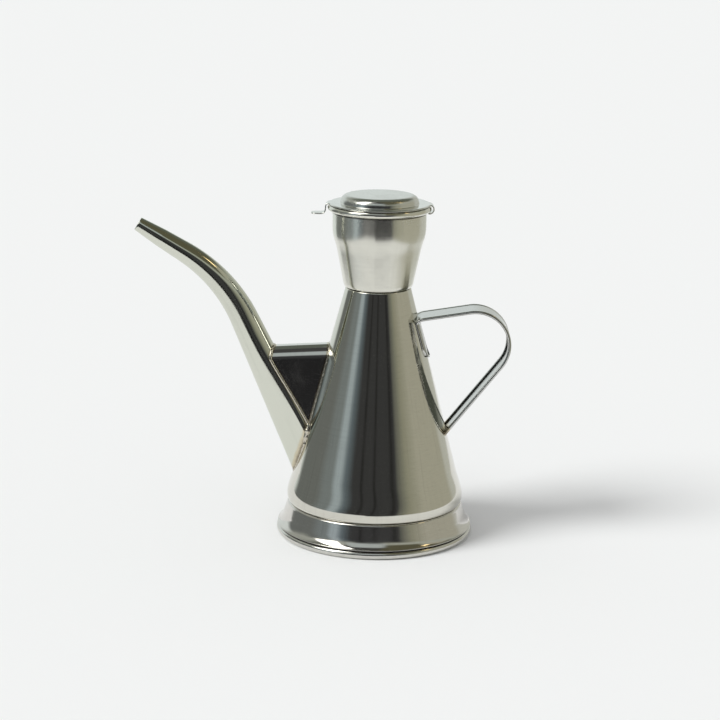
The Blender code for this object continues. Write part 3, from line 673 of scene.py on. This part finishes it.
def grain_steel(name, colour, roughness, lines, waves, tinted=False):
    """Sheet polished along its length: hair lines follow the piece's own UV map. Where it is tinted, the tint
    attribute turns it straw, then brown, close to a weld."""
    material, wire, shader = new_material(name)
    place = wire.add("ShaderNodeTexCoord", {}, output="Object")
    flat = wire.add("ShaderNodeTexCoord", {}, output="UV")
    drawn = wire.add("ShaderNodeMapping", {"Vector": flat, "Scale": (1600.0, 36.0, 1.0)})
    hairs = wire.noise(drawn, scale=1.0, detail=3.0)
    broad = wire.add("ShaderNodeMapping", {"Vector": flat, "Scale": (420.0, 14.0, 1.0)})
    streaks = wire.noise(broad, scale=1.0, detail=3.0)
    smears = wire.noise(place, scale=80.0, detail=3.0)
    slow = wire.noise(place, scale=38.0, detail=1.0)
    rough = roughness + (hairs - 0.5) * 0.10 + (streaks - 0.5) * 0.08 + smears.between(0.5, 0.8) * 0.06
    dull = tuple(0.84 * c for c in colour)
    wear = streaks.between(0.5, 0.8) * 0.5 + smears.between(0.5, 0.9) * 0.3
    steel_colour = wire.colour(colour).blend(wear, (*dull, 1))
    if tinted:
        near = wire.add("ShaderNodeAttribute", {}, output=2, attribute_name="tint")
        uneven = near * (0.55 + wire.noise(place, scale=260.0, detail=3.0) * 0.9)
        straw = steel_colour.blend(uneven.between(0.15, 0.5) * 0.75, (*STRAW_TINT, 1))
        steel_colour = straw.blend(uneven.between(0.55, 1.0) * 0.7, (*BROWN_TINT, 1))
        rough = rough + uneven.between(0.4, 1.0) * 0.2
    polish(wire, shader, steel_colour, rough, hairs * lines + streaks * lines * 2.0 + slow * waves)
    return material


def tint_by(piece, centres, reach):
    """Writes the tint attribute: exp(-(d / reach)^2), with d the distance to the nearest centre. Where the
    piece has a stronger tint already, that one stays."""
    mesh = piece.data
    place = np.empty(len(mesh.vertices) * 3, np.float32)
    mesh.vertices.foreach_get("co", place)
    place = place.reshape(-1, 3)
    nearest = np.full(len(place), np.inf)
    for centre in centres:
        nearest = np.minimum(nearest, np.linalg.norm(place - centre, axis=1))
    tint = mesh.attributes.get("tint") or mesh.attributes.new("tint", "FLOAT", "POINT")
    before = np.empty(len(place), np.float32)
    tint.data.foreach_get("value", before)
    after = np.maximum(before, np.exp(-((nearest / reach) ** 2)))
    tint.data.foreach_set("value", after.astype(np.float32))


# The spout's rows run up the outside from just within the cone's wall, round the tip's edge, and down the
# inside at half as many rows.
spout_side = np.linspace(0, math.tau, SPOUT_SIDES, endpoint=False)
spout_seat = spout_foot(spout_side)
spout_share = np.linspace(0, 1, SPOUT_ROWS)[:, None]
spout_start = spout_seat - SPOUT_SINK
spout_runs = spout_start + spout_share * (spout_length - TIP_ROUND - spout_start)
tip_angle = np.radians(np.linspace(0, 180, 9))[1:-1, None]
tip_runs = spout_length - TIP_ROUND + TIP_ROUND * np.sin(tip_angle) + 0 * spout_side
tip_insets = TIP_ROUND * (1 - np.cos(tip_angle)) + 0 * spout_side
inner_runs = spout_runs[::-2]
spout_grid = np.concatenate(
    [
        spout_point(spout_runs, spout_side),
        spout_point(tip_runs, spout_side, tip_insets),
        spout_point(inner_runs, spout_side, SHEET),
    ]
)
spout_steel = grain_steel(
    "spout_metal", colour=(0.68, 0.69, 0.61), roughness=0.10, lines=4e-7, waves=3e-5, tinted=True
)
spout = surface("spout", spout_grid, True, True, spout_steel)
tint_by(spout, spout_point(spout_seat, spout_side), ROOT_TINT)
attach(spout, "can")
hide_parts("spout_tube")

# Weld round the spout's root
# A thin run of weld metal, ground flush below and left lumpy near the brace, where the two seams cross.
WELD_RADIUS = 0.45 * MM
WELD_SIDES = 14
CROSSING_Z = 50.0 * MM
CROSSING_REACH = 9.0 * MM


def weld(name, path, radius, closed):
    """A weld bead: circles of the given radii carried along a path. Each stands across the path, and its
    first axis points away from the can's axis."""
    lift = path * np.array([1, 1, 0])
    ends = (path[-1], path[0]) if closed else (2 * path[0] - path[1], 2 * path[-1] - path[-2])
    tangent = np.vstack([path[1:], ends[1]]) - np.vstack([ends[0], path[:-1]])
    tangent /= np.linalg.norm(tangent, axis=1)[:, None]
    up = lift - np.sum(lift * tangent, axis=1)[:, None] * tangent
    up /= np.linalg.norm(up, axis=1)[:, None]
    across = np.cross(up, tangent)
    turn = np.linspace(0, math.tau, WELD_SIDES, endpoint=False)[None, :, None]
    ring = np.cos(turn) * up[:, None] + np.sin(turn) * across[:, None]
    return surface(name, path[:, None] + radius[:, None, None] * ring, closed, True, weld_metal)


def ripple(run, seed):
    """Uneven weld thickness from -1 to 1: a sum of sines of unlike lengths along the run, in millimetres."""
    mm = run / MM + 37.0 * seed
    return (np.sin(mm * 1.9) + 0.8 * np.sin(mm * 0.87 + 1.0) + 0.5 * np.sin(mm * 3.1 + 2.0)) / 2.3


weld_metal = grain_steel("weld_metal", colour=(0.60, 0.56, 0.48), roughness=0.24, lines=6e-7, waves=6e-5)
spout_fine = np.linspace(0, math.tau, 420, endpoint=False)
spout_path = spout_point(spout_foot(spout_fine), spout_fine)
spout_lumpy = np.clip(1.25 - np.abs(spout_path[:, 2] - CROSSING_Z) / CROSSING_REACH, 0, 1)
spout_bead = WELD_RADIUS * (0.7 + spout_lumpy * (0.75 + 0.55 * ripple(run_along(spout_path), 1)))
spout_weld = weld("spout_weld", spout_path, spout_bead, closed=True)
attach(spout_weld, "can")

# Brace
# One sheet folded over a round ridge and welded between spout and cone, so that the long spout can't be
# bent off. Its sides spread a little downwards and end in a point where spout and cone meet.
BRACE_RIDGE_Z = 96.9 * MM
BRACE_RISE = 1.7 * MM
BRACE_FOLD = 6.3 * MM
BRACE_TOP_HALF = 7.0 * MM
BRACE_LOW_HALF = 10.2 * MM
BRACE_SINK = 0.3 * MM
BRACE_TINT = 1.2 * MM
TUBE_TINT = 1.1 * MM
CONE_SEAM = 0.38 * MM
TUBE_SEAM = 0.75 * MM
SEAM_RIPPLE = 0.06 * MM
LUMP_RADIUS = 1.5 * MM
LUMP_OUT = 0.6 * MM
LUMP_BELOW = 9.0 * MM
LUMP_ABOVE = 1.5 * MM

brace_drop = BRACE_RIDGE_Z - SPOUT_ROOT_Z
brace_fold_z = BRACE_RIDGE_Z - BRACE_FOLD


def brace_half(z):
    """Half width of the brace's side at height z: it spreads evenly from the ridge to the spout's root."""
    return BRACE_TOP_HALF + (BRACE_LOW_HALF - BRACE_TOP_HALF) * (BRACE_RIDGE_Z - z) / brace_drop


def brace_ends(y, z):
    """X of the spout's wall and of the cone's at (y, z): on the tube, the offset from its middle line
    is n = (r^p - |y / (1 + k n / r)|^p)^(1/p), and on the cone x is -sqrt(R^2 - y^2)."""
    sine, cosine = math.sin(SPOUT_ROOT_ANGLE), math.cos(SPOUT_ROOT_ANGLE)
    x = spout_root[0] + 0 * y
    offset = 0.8 * SPOUT_ROOT_RADIUS + 0 * y
    for _ in range(40):
        run = (z - spout_root[1]) * sine - (x - spout_root[0]) * cosine
        radius = spout_radius(run)
        power, swell = spout_form(run)
        narrow = np.abs(y) / (1 + swell * offset / radius) / radius
        offset = (offset + radius * np.maximum(1 - narrow**power, 1e-6) ** (1 / power)) / 2
        x = spout_root[0] + (offset - (z - spout_root[1]) * cosine) / sine
    return x, -np.sqrt(cone_radius(z) ** 2 - y**2)


def brace_low():
    """Height at which spout and cone meet beside the brace, by halving between root and ridge."""
    low, high = SPOUT_ROOT_Z, brace_fold_z
    for _ in range(40):
        middle = (low + high) / 2
        left, right = brace_ends(np.array(brace_half(middle)), np.array(middle))
        low, high = (middle, high) if left > right else (low, middle)
    return high


# The brace's section goes down one side, over the ridge and down the other. Each of its lines runs in even
# shares from the spout's wall to the cone's, sunk a little into both.
brace_bottom = brace_low()
brace_side_z = np.linspace(brace_bottom, brace_fold_z, 60)
brace_side = np.column_stack([brace_half(brace_side_z), brace_side_z])
fold_half = brace_half(brace_fold_z)
brace_fold = bend(
    (fold_half, brace_fold_z),
    (fold_half, BRACE_RIDGE_Z - 0.74 * BRACE_FOLD),
    (fold_half - 0.30 * BRACE_FOLD, BRACE_RIDGE_Z),
    (fold_half - 0.95 * BRACE_FOLD, BRACE_RIDGE_Z),
    steps=30,
)
brace_halfway = joined(brace_side, brace_fold, stretch(brace_fold[-1], (0, BRACE_RIDGE_Z), steps=3))
brace_section = np.vstack([brace_halfway, (brace_halfway[::-1] * np.array([-1, 1]))[1:]])
brace_share = np.linspace(0, 1, 60)[None, :]
brace_y = brace_section[:, :1] + 0 * brace_share
brace_level = np.clip((brace_section[:, 1:] - brace_bottom) / (BRACE_RIDGE_Z - brace_bottom), 0, 1)
brace_z = brace_section[:, 1:] + BRACE_RISE * (brace_share - 0.5) * brace_level
brace_left, brace_right = brace_ends(brace_y, brace_z)
cone_seam = np.stack([brace_right[:, -1], brace_y[:, -1], brace_z[:, -1]], -1)
tube_seam = np.stack([brace_left[:, 0], brace_y[:, 0], brace_z[:, 0]], -1)
brace_reach = np.maximum(brace_right + BRACE_SINK, brace_left) - brace_left + BRACE_SINK
brace_x = brace_left - BRACE_SINK + brace_share * brace_reach
brace_steel = grain_steel(
    "brace_metal", colour=(0.66, 0.65, 0.62), roughness=0.07, lines=3e-7, waves=3e-5, tinted=True
)
brace = surface("brace", np.stack([brace_x, brace_y, brace_z], -1), False, False, brace_steel)
brace_thickness = brace.modifiers.new("sheet", "SOLIDIFY")
brace_thickness.thickness = SHEET
brace_thickness.offset = -1
tint_by(brace, np.vstack([cone_seam[::2], tube_seam[::2]]), BRACE_TINT)
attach(brace, "can")
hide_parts("spout_brace")
tint_by(spout, tube_seam[::2], TUBE_TINT)
brace_seams = {"brace_weld_cone": (cone_seam, CONE_SEAM), "brace_weld_spout": (tube_seam, TUBE_SEAM)}
for name, (seam, size) in brace_seams.items():
    seam_radius = size + SEAM_RIPPLE * ripple(run_along(seam), 2)
    seam_bead = weld(name, seam, seam_radius, closed=False)
    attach(seam_bead, "can")

# A lump of weld runs on below the brace's point on each side. Its radius is r * sqrt(1 - share^2), with the
# share from -1 to 1 along it.
for side in (-1, 1):
    lump_share = np.linspace(-1, 1, 25)
    lump_z = brace_bottom + stretch(-LUMP_BELOW, LUMP_ABOVE, steps=24)
    lump_half = brace_half(brace_bottom) + 0 * lump_z
    lump_x = np.minimum(*brace_ends(lump_half, lump_z))
    lump_path = np.column_stack([lump_x, side * (lump_half + LUMP_OUT), lump_z])
    lump_radius = LUMP_RADIUS * np.sqrt(1.0001 - lump_share**2) * (1 + 0.15 * ripple(lump_z, 4))
    lump = weld(f"brace_lump_{side}", lump_path, lump_radius, closed=False)
    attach(lump, "can")

# Handle
# A strap of thin sheet whose two edges are folded in and pressed flat, so that they don't cut the hand.
# A tab lies down the cone, the strap runs out and round, and its leg is cut to the cone and welded on.
STRAP_HALF = 9.0 * MM
STRAP_EDGE = 1.7 * MM
STRAP_HEM = 2.6 * MM
STRAP_FOLD = 0.5 * MM
STRAP_INNER = 0.9 * MM
STRAP_DISH = 0.28 * MM
DISH_EDGE = 0.4 * MM
TAB_OFF = -0.6 * MM
TAB_LOW_Z = 91.8 * MM
TAB_TOP_Z = 112.8 * MM
TAB_CORNER = 5.5 * MM
TAB_BEND = 3.5 * MM
RUN_ANGLE = math.radians(9.5)
LEG_ANGLE = math.radians(52)
STRAP_REACH = 91.8 * MM
LOOP_RADIUS = 18.0 * MM
LEG_OVERRUN = 1.5 * MM
LEG_ROWS = 60
LEG_BACK = np.array([0.75, 0.0, 0.96])
LEG_FOOT_Z = 54.0 * MM
LEG_TINT = 3.0 * MM


def rounded(before, corner, after, radius, steps):
    """The arc of this radius that rounds a corner to the right. It starts radius * tan(turn / 2) before
    the corner."""
    heading_in = math.atan2(corner[1] - before[1], corner[0] - before[0])
    heading_out = math.atan2(after[1] - corner[1], after[0] - corner[0])
    turn = (heading_in - heading_out) % math.tau
    ahead = np.array([math.cos(heading_in), math.sin(heading_in)])
    start = np.array(corner) - radius * math.tan(turn / 2) * ahead
    centre = start + radius * np.array([ahead[1], -ahead[0]])
    first = math.degrees(heading_in) + 90
    return arc(centre, radius, first, first - math.degrees(turn), steps)


tab_low = np.array([cone_radius(TAB_LOW_Z) + TAB_OFF, TAB_LOW_Z])
tab_top = np.array([cone_radius(TAB_TOP_Z) + TAB_OFF, TAB_TOP_Z])
strap_far = np.array([STRAP_REACH, tab_top[1] + (STRAP_REACH - tab_top[0]) * math.tan(RUN_ANGLE)])
leg_closing = math.cos(LEG_ANGLE) + CONE_SLOPE * math.sin(LEG_ANGLE)
leg_length = (STRAP_REACH - cone_radius(strap_far[1])) / leg_closing
leg_end = strap_far - (leg_length + LEG_OVERRUN) * np.array([math.cos(LEG_ANGLE), math.sin(LEG_ANGLE)])
tab_round = rounded(tab_low, tab_top, strap_far, TAB_BEND, steps=24)
loop_round = rounded(tab_top, strap_far, leg_end, LOOP_RADIUS, steps=90)
corner_top = tab_low + (tab_top - tab_low) * TAB_CORNER / np.linalg.norm(tab_top - tab_low)
corner_share = 1 - np.cos(np.linspace(0, math.pi / 2, 20))[:, None]
strap_path = joined(
    tab_low + corner_share * (corner_top - tab_low),
    stretch(corner_top, tab_round[0], steps=24),
    tab_round,
    stretch(tab_round[-1], loop_round[0], steps=40),
    loop_round,
    stretch(loop_round[-1], leg_end, steps=LEG_ROWS),
)

# The strap's section, as (distance from its middle, depth under its outer face): a shallow dish between the
# hems, each hem's round fold, its free edge, the slit under it, and the plain inner face.
strap_flat = STRAP_HALF - STRAP_EDGE / 2
strap_middle = STRAP_HALF - STRAP_HEM
strap_fold = arc((strap_flat, STRAP_EDGE / 2), STRAP_EDGE / 2, -90, 90, steps=12)
strap_dish = bend(
    (strap_middle - DISH_EDGE, STRAP_DISH),
    (strap_middle + 0.5 * MM, STRAP_DISH),
    (strap_middle + 0.7 * MM, 0),
    (strap_flat, 0),
    steps=10,
)
hem_under = STRAP_EDGE - STRAP_FOLD
strap_side = joined(
    strap_dish,
    strap_fold,
    stretch((strap_flat, STRAP_EDGE), (strap_middle + STRAP_FOLD / 2, STRAP_EDGE), steps=4),
    arc((strap_middle + STRAP_FOLD / 2, STRAP_EDGE - STRAP_FOLD / 2), STRAP_FOLD / 2, 90, 270, steps=8),
    stretch((strap_middle + 0.3 * MM, hem_under), (strap_flat, hem_under), steps=4),
    stretch((strap_flat, STRAP_INNER), (strap_middle, STRAP_INNER), steps=4),
)
other_side = np.array([-1, 1])
strap_section = np.vstack(
    [
        stretch((0, STRAP_DISH), strap_side[0], steps=8)[:-1],
        strap_side,
        stretch(strap_side[-1], strap_side[-1] * other_side, steps=16)[1:-1],
        strap_side[::-1] * other_side,
        stretch(strap_side[0] * other_side, (0, STRAP_DISH), steps=8)[1:-1],
    ]
)
# A point of the strap is path + depth * inward normal, at y across. The tab's end is rounded by taking
# r - sqrt(r^2 - d^2) off y, with d the way from the round's end, and the tab lies R - sqrt(R^2 - y^2) nearer
# the axis, with R the cone's radius.
strap_along = np.gradient(strap_path, axis=0)
strap_along /= np.linalg.norm(strap_along, axis=1)[:, None]
strap_in = np.column_stack([strap_along[:, 1], -strap_along[:, 0]])
strap_run = run_along(strap_path)
strap_short = np.maximum(TAB_CORNER - strap_run, 0)
strap_loss = TAB_CORNER - np.sqrt(TAB_CORNER**2 - strap_short**2)
strap_squeeze = ((strap_middle - strap_loss) / strap_middle)[:, None]
strap_hug = (np.maximum(strap_in[:, 0], 0) ** 2 * (strap_run < strap_run[-1] / 2))[:, None]
strap_out = np.abs(strap_section[:, 0])
strap_keep = np.minimum(strap_out, strap_middle)[None, :]
strap_y = np.sign(strap_section[:, 0]) * (strap_out - strap_keep + strap_keep * strap_squeeze)
strap_cone = cone_radius(strap_path[:, 1])[:, None]
strap_sag = strap_hug * (strap_cone - np.sqrt(np.maximum(strap_cone**2 - strap_y**2, 1e-9)))
strap_deep = strap_section[:, 1][None, :]
strap_grid = np.stack(
    [
        strap_path[:, :1] + strap_deep * strap_in[:, :1] - strap_sag,
        strap_y,
        strap_path[:, 1:] + strap_deep * strap_in[:, 1:],
    ],
    -1,
)
# What of the leg would reach into the tank goes back along the leg to the cone's face.
leg_x, leg_y, leg_z = np.moveaxis(strap_grid[-LEG_ROWS:], -1, 0)
leg_inside = np.maximum(cone_radius(leg_z) - np.hypot(leg_x, leg_y), 0)
strap_grid[-LEG_ROWS:] += leg_inside[..., None] * LEG_BACK
strap_cap = np.repeat(strap_grid[:1].mean(axis=1, keepdims=True), strap_grid.shape[1], axis=1)
leg_cap = np.repeat(strap_grid[-1:].mean(axis=1, keepdims=True), strap_grid.shape[1], axis=1)
strap_steel = grain_steel(
    "strap_metal", colour=(0.57, 0.57, 0.55), roughness=0.15, lines=1.2e-7, waves=2e-5, tinted=True
)
strap = surface("handle", np.concatenate([strap_cap, strap_grid, leg_cap]), False, True, strap_steel)
leg_foot = [(cone_radius(LEG_FOOT_Z), y * MM, LEG_FOOT_Z) for y in (-8, -4, 0, 4, 8)]
tint_by(strap, np.array(leg_foot), LEG_TINT)
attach(strap, "can")
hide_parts("handle_strap")

# Studio
# White paper lies under and behind the can in a dark room, with one window to the left. The polished steel
# mirrors the paper, its edges in front, to the left and to the right, and beyond them the room's walls,
# cards, lamps and ceiling.
FLOOR_RADIUS = 12.0
FLOOR_SIDES = 128
FLOOR_WHITE = (0.90, 0.9108, 0.9054)
PAPER_LEFT = -0.31
PAPER_FRONT = -0.32
PAPER_RIGHT = 0.19
PAPER_FADE = 0.10
PAPER_EDGE = 0.02
PAPER_STEP = -0.065
PAPER_STEP_DEEP = 0.17


def floor_material():
    """White paper. In the steel's mirror it ends at the sheet's edges, and the room shows beyond them."""
    material, wire, shader = new_material("paper")
    shader.inputs["Metallic"].default_value = 0.0
    shader.inputs["Base Color"].default_value = (*FLOOR_WHITE, 1)
    shader.inputs["Roughness"].default_value = 0.9
    shader.inputs["Specular IOR Level"].default_value = 0.0
    across, deep, _ = wire.add("ShaderNodeTexCoord", {}, output="Object").parts()
    further = deep + (1 - across.between(PAPER_STEP - PAPER_EDGE, PAPER_STEP)) * PAPER_STEP_DEEP
    inside = across.between(PAPER_LEFT - PAPER_EDGE / 2, PAPER_LEFT + PAPER_EDGE / 2)
    inside = inside * further.between(PAPER_FRONT - PAPER_EDGE, PAPER_FRONT)
    inside = inside * (1 - across.between(PAPER_RIGHT, PAPER_RIGHT + PAPER_FADE))
    mirrored = wire.add("ShaderNodeLightPath", {}, output="Is Glossy Ray")
    beyond = wire.add("ShaderNodeBsdfTransparent", {})
    paper = Wire(wire.tree, shader.outputs[0])
    ended = wire.add("ShaderNodeMixShader", {0: mirrored * (1 - inside), 1: paper, 2: beyond})
    ended.feed(wire.tree.nodes["Material Output"].inputs["Surface"])
    return material


floor_angle = np.linspace(0, math.tau, FLOOR_SIDES, endpoint=False)
floor_mesh = bpy.data.meshes.new("floor")
floor_rim = FLOOR_RADIUS * np.stack([np.cos(floor_angle), np.sin(floor_angle), 0 * floor_angle], -1)
floor_mesh.from_pydata(floor_rim, [], [list(range(FLOOR_SIDES))])
floor_mesh.materials.append(floor_material())
floor = bpy.data.objects.new("floor", floor_mesh)
bpy.context.scene.collection.objects.link(floor)

world = bpy.data.worlds.new("studio")
bpy.context.scene.world = world
world.use_nodes = True
world.node_tree.nodes.clear()
sky = Wire(world.node_tree)
way_x, way_y, way_z = sky.add("ShaderNodeTexCoord", {}, output="Generated").parts()
bearing = sky.maths("ARCTAN2", way_x, 0 - way_y) * (180 / math.pi)
height = sky.maths("ARCSINE", way_z) * (180 / math.pi)


def walls(degrees, stops):
    """The room's colours by bearing: a ramp through stops of (degrees from the front, colour)."""
    places = [((stop + 180) / 360, colour) for stop, colour in stops]
    return sky.add("ShaderNodeValToRGB", {"Fac": (degrees + 180) / 360}, stops=places)


def hung(room, colour, left, right, low, high, soft):
    """The room with a card or lamp of this colour in it, between two bearings and two heights in degrees.
    Its edges are soft by so many degrees to each side."""
    side = bearing.between(left - soft, left + soft) * (1 - bearing.between(right - soft, right + soft))
    upright = height.between(low - soft, low + soft) * (1 - height.between(high - soft, high + soft))
    return room.blend(side * upright, (*colour, 1))


PAPER_WHITE = (0.80, 0.86, 0.85)
LEFT_WALL = (0.177, 0.190, 0.184)
WINDOW_EDGE = (0.225, 0.255, 0.262)
WINDOW = (0.41, 0.48, 0.52)
WINDOW_SHADE = (0.150, 0.187, 0.212)
DARK_WALL = (0.049, 0.050, 0.052)
DARK_POST = (0.022, 0.022, 0.022)
RIGHT_WALL = (0.145, 0.150, 0.130)
RIGHT_CLOTH = (0.325, 0.325, 0.250)
RIGHT_WARM = (0.458, 0.450, 0.370)
RIGHT_PALE = (0.57, 0.58, 0.53)
CEILING_DARK = (0.070, 0.070, 0.068)
CEILING_OLIVE = (0.118, 0.112, 0.070)
CEILING_BACK = (0.140, 0.155, 0.130)
FRONT_CARD = (0.52, 0.57, 0.57)
LEFT_CARD = (0.42, 0.44, 0.40)
RIGHT_CARD = (0.46, 0.48, 0.42)
LOW_DARK = (0.020, 0.020, 0.021)
WINDOW_LAMP = (5.0, 5.0, 4.8)
WARM_LAMP = (3.0, 2.3, 1.2)
ROOM_LIGHT = (0.545, 0.545, 0.545)
BACKDROP = (0.89, 0.91, 0.90)

belt = walls(
    bearing - (height - 15) * 0.3,
    [
        (-180, PAPER_WHITE),
        (-128, PAPER_WHITE),
        (-120, LEFT_WALL),
        (-84, LEFT_WALL),
        (-72, WINDOW_EDGE),
        (-62, WINDOW_EDGE),
        (-55, WINDOW),
        (-49, WINDOW),
        (-42, WINDOW_SHADE),
        (-30, DARK_WALL),
        (-21, DARK_WALL),
        (-18, DARK_POST),
        (-15, DARK_WALL),
        (-3, DARK_WALL),
        (0, DARK_POST),
        (3, DARK_WALL),
        (22, DARK_WALL),
        (25, DARK_POST),
        (31, DARK_WALL),
        (35, RIGHT_WALL),
        (49, RIGHT_CLOTH),
        (70, RIGHT_WARM),
        (122, RIGHT_WARM),
        (131, RIGHT_PALE),
        (165, RIGHT_PALE),
        (180, PAPER_WHITE),
    ],
)
ceiling = walls(
    bearing,
    [
        (-180, CEILING_BACK),
        (-110, CEILING_BACK),
        (-60, CEILING_DARK),
        (14, CEILING_DARK),
        (19, CEILING_OLIVE),
        (110, CEILING_OLIVE),
        (150, CEILING_BACK),
        (180, CEILING_BACK),
    ],
)
warm_side = bearing.between(50, 75) * (1 - bearing.between(112, 122))
room = belt.blend((height - warm_side * 18).between(24, 31), ceiling)
room = hung(room, LOW_DARK, left=-36, right=33, low=-40, high=-4, soft=3)
room = hung(room, LEFT_CARD, left=-170, right=-24, low=27, high=42, soft=5)
room = hung(room, RIGHT_CARD, left=10, right=140, low=27, high=36, soft=4)
room = hung(room, FRONT_CARD, left=-36, right=16, low=30, high=54, soft=4)
room = hung(room, LEFT_CARD, left=-130, right=-92, low=20, high=48, soft=9)
room = hung(room, WINDOW_LAMP, left=-80, right=-48, low=29, high=70, soft=3)
room = hung(room, WARM_LAMP, left=80, right=90, low=46, high=52, soft=1.5)
mirrored = sky.add("ShaderNodeLightPath", {}, output="Is Glossy Ray")
seen = sky.add("ShaderNodeLightPath", {}, output="Is Camera Ray")
light = sky.colour(ROOM_LIGHT).blend(mirrored, room).blend(seen, (*BACKDROP, 1))
glow = sky.add("ShaderNodeBackground", {"Color": light, "Strength": 1.0})
sky.add("ShaderNodeOutputWorld", {"Surface": glow})

sun_data = bpy.data.lights.new("window", "SUN")
sun_data.energy = 2.0
sun_data.angle = math.radians(26)
sun = bpy.data.objects.new("window", sun_data)
sun.rotation_euler = (0, math.radians(-45), math.radians(23))
sun.visible_glossy = False
bpy.context.scene.collection.objects.link(sun)

# Camera
# It stands about a metre in front of the can and a third of a metre up, looking down by 14 degrees. It is
# rolled by 1 degree, as the photograph is.
LOOK_DOWN = 13.95
ROLL = 1.05

camera_data = bpy.data.cameras.new("camera")
camera_data.lens = 100.0
camera_data.sensor_width = 36.0
camera_data.shift_x = -0.0235
camera = bpy.data.objects.new("camera", camera_data)
camera.location = (0, -0.981, 0.333)
camera.rotation_mode = "QUATERNION"
tilt = (math.radians(90 - LOOK_DOWN) / 2, math.radians(ROLL) / 2)
camera.rotation_quaternion = (
    math.cos(tilt[0]) * math.cos(tilt[1]),
    math.sin(tilt[0]) * math.cos(tilt[1]),
    -math.sin(tilt[0]) * math.sin(tilt[1]),
    math.cos(tilt[0]) * math.sin(tilt[1]),
)
bpy.context.scene.collection.objects.link(camera)
bpy.context.scene.camera = camera
bpy.context.scene.view_settings.view_transform = "Standard"
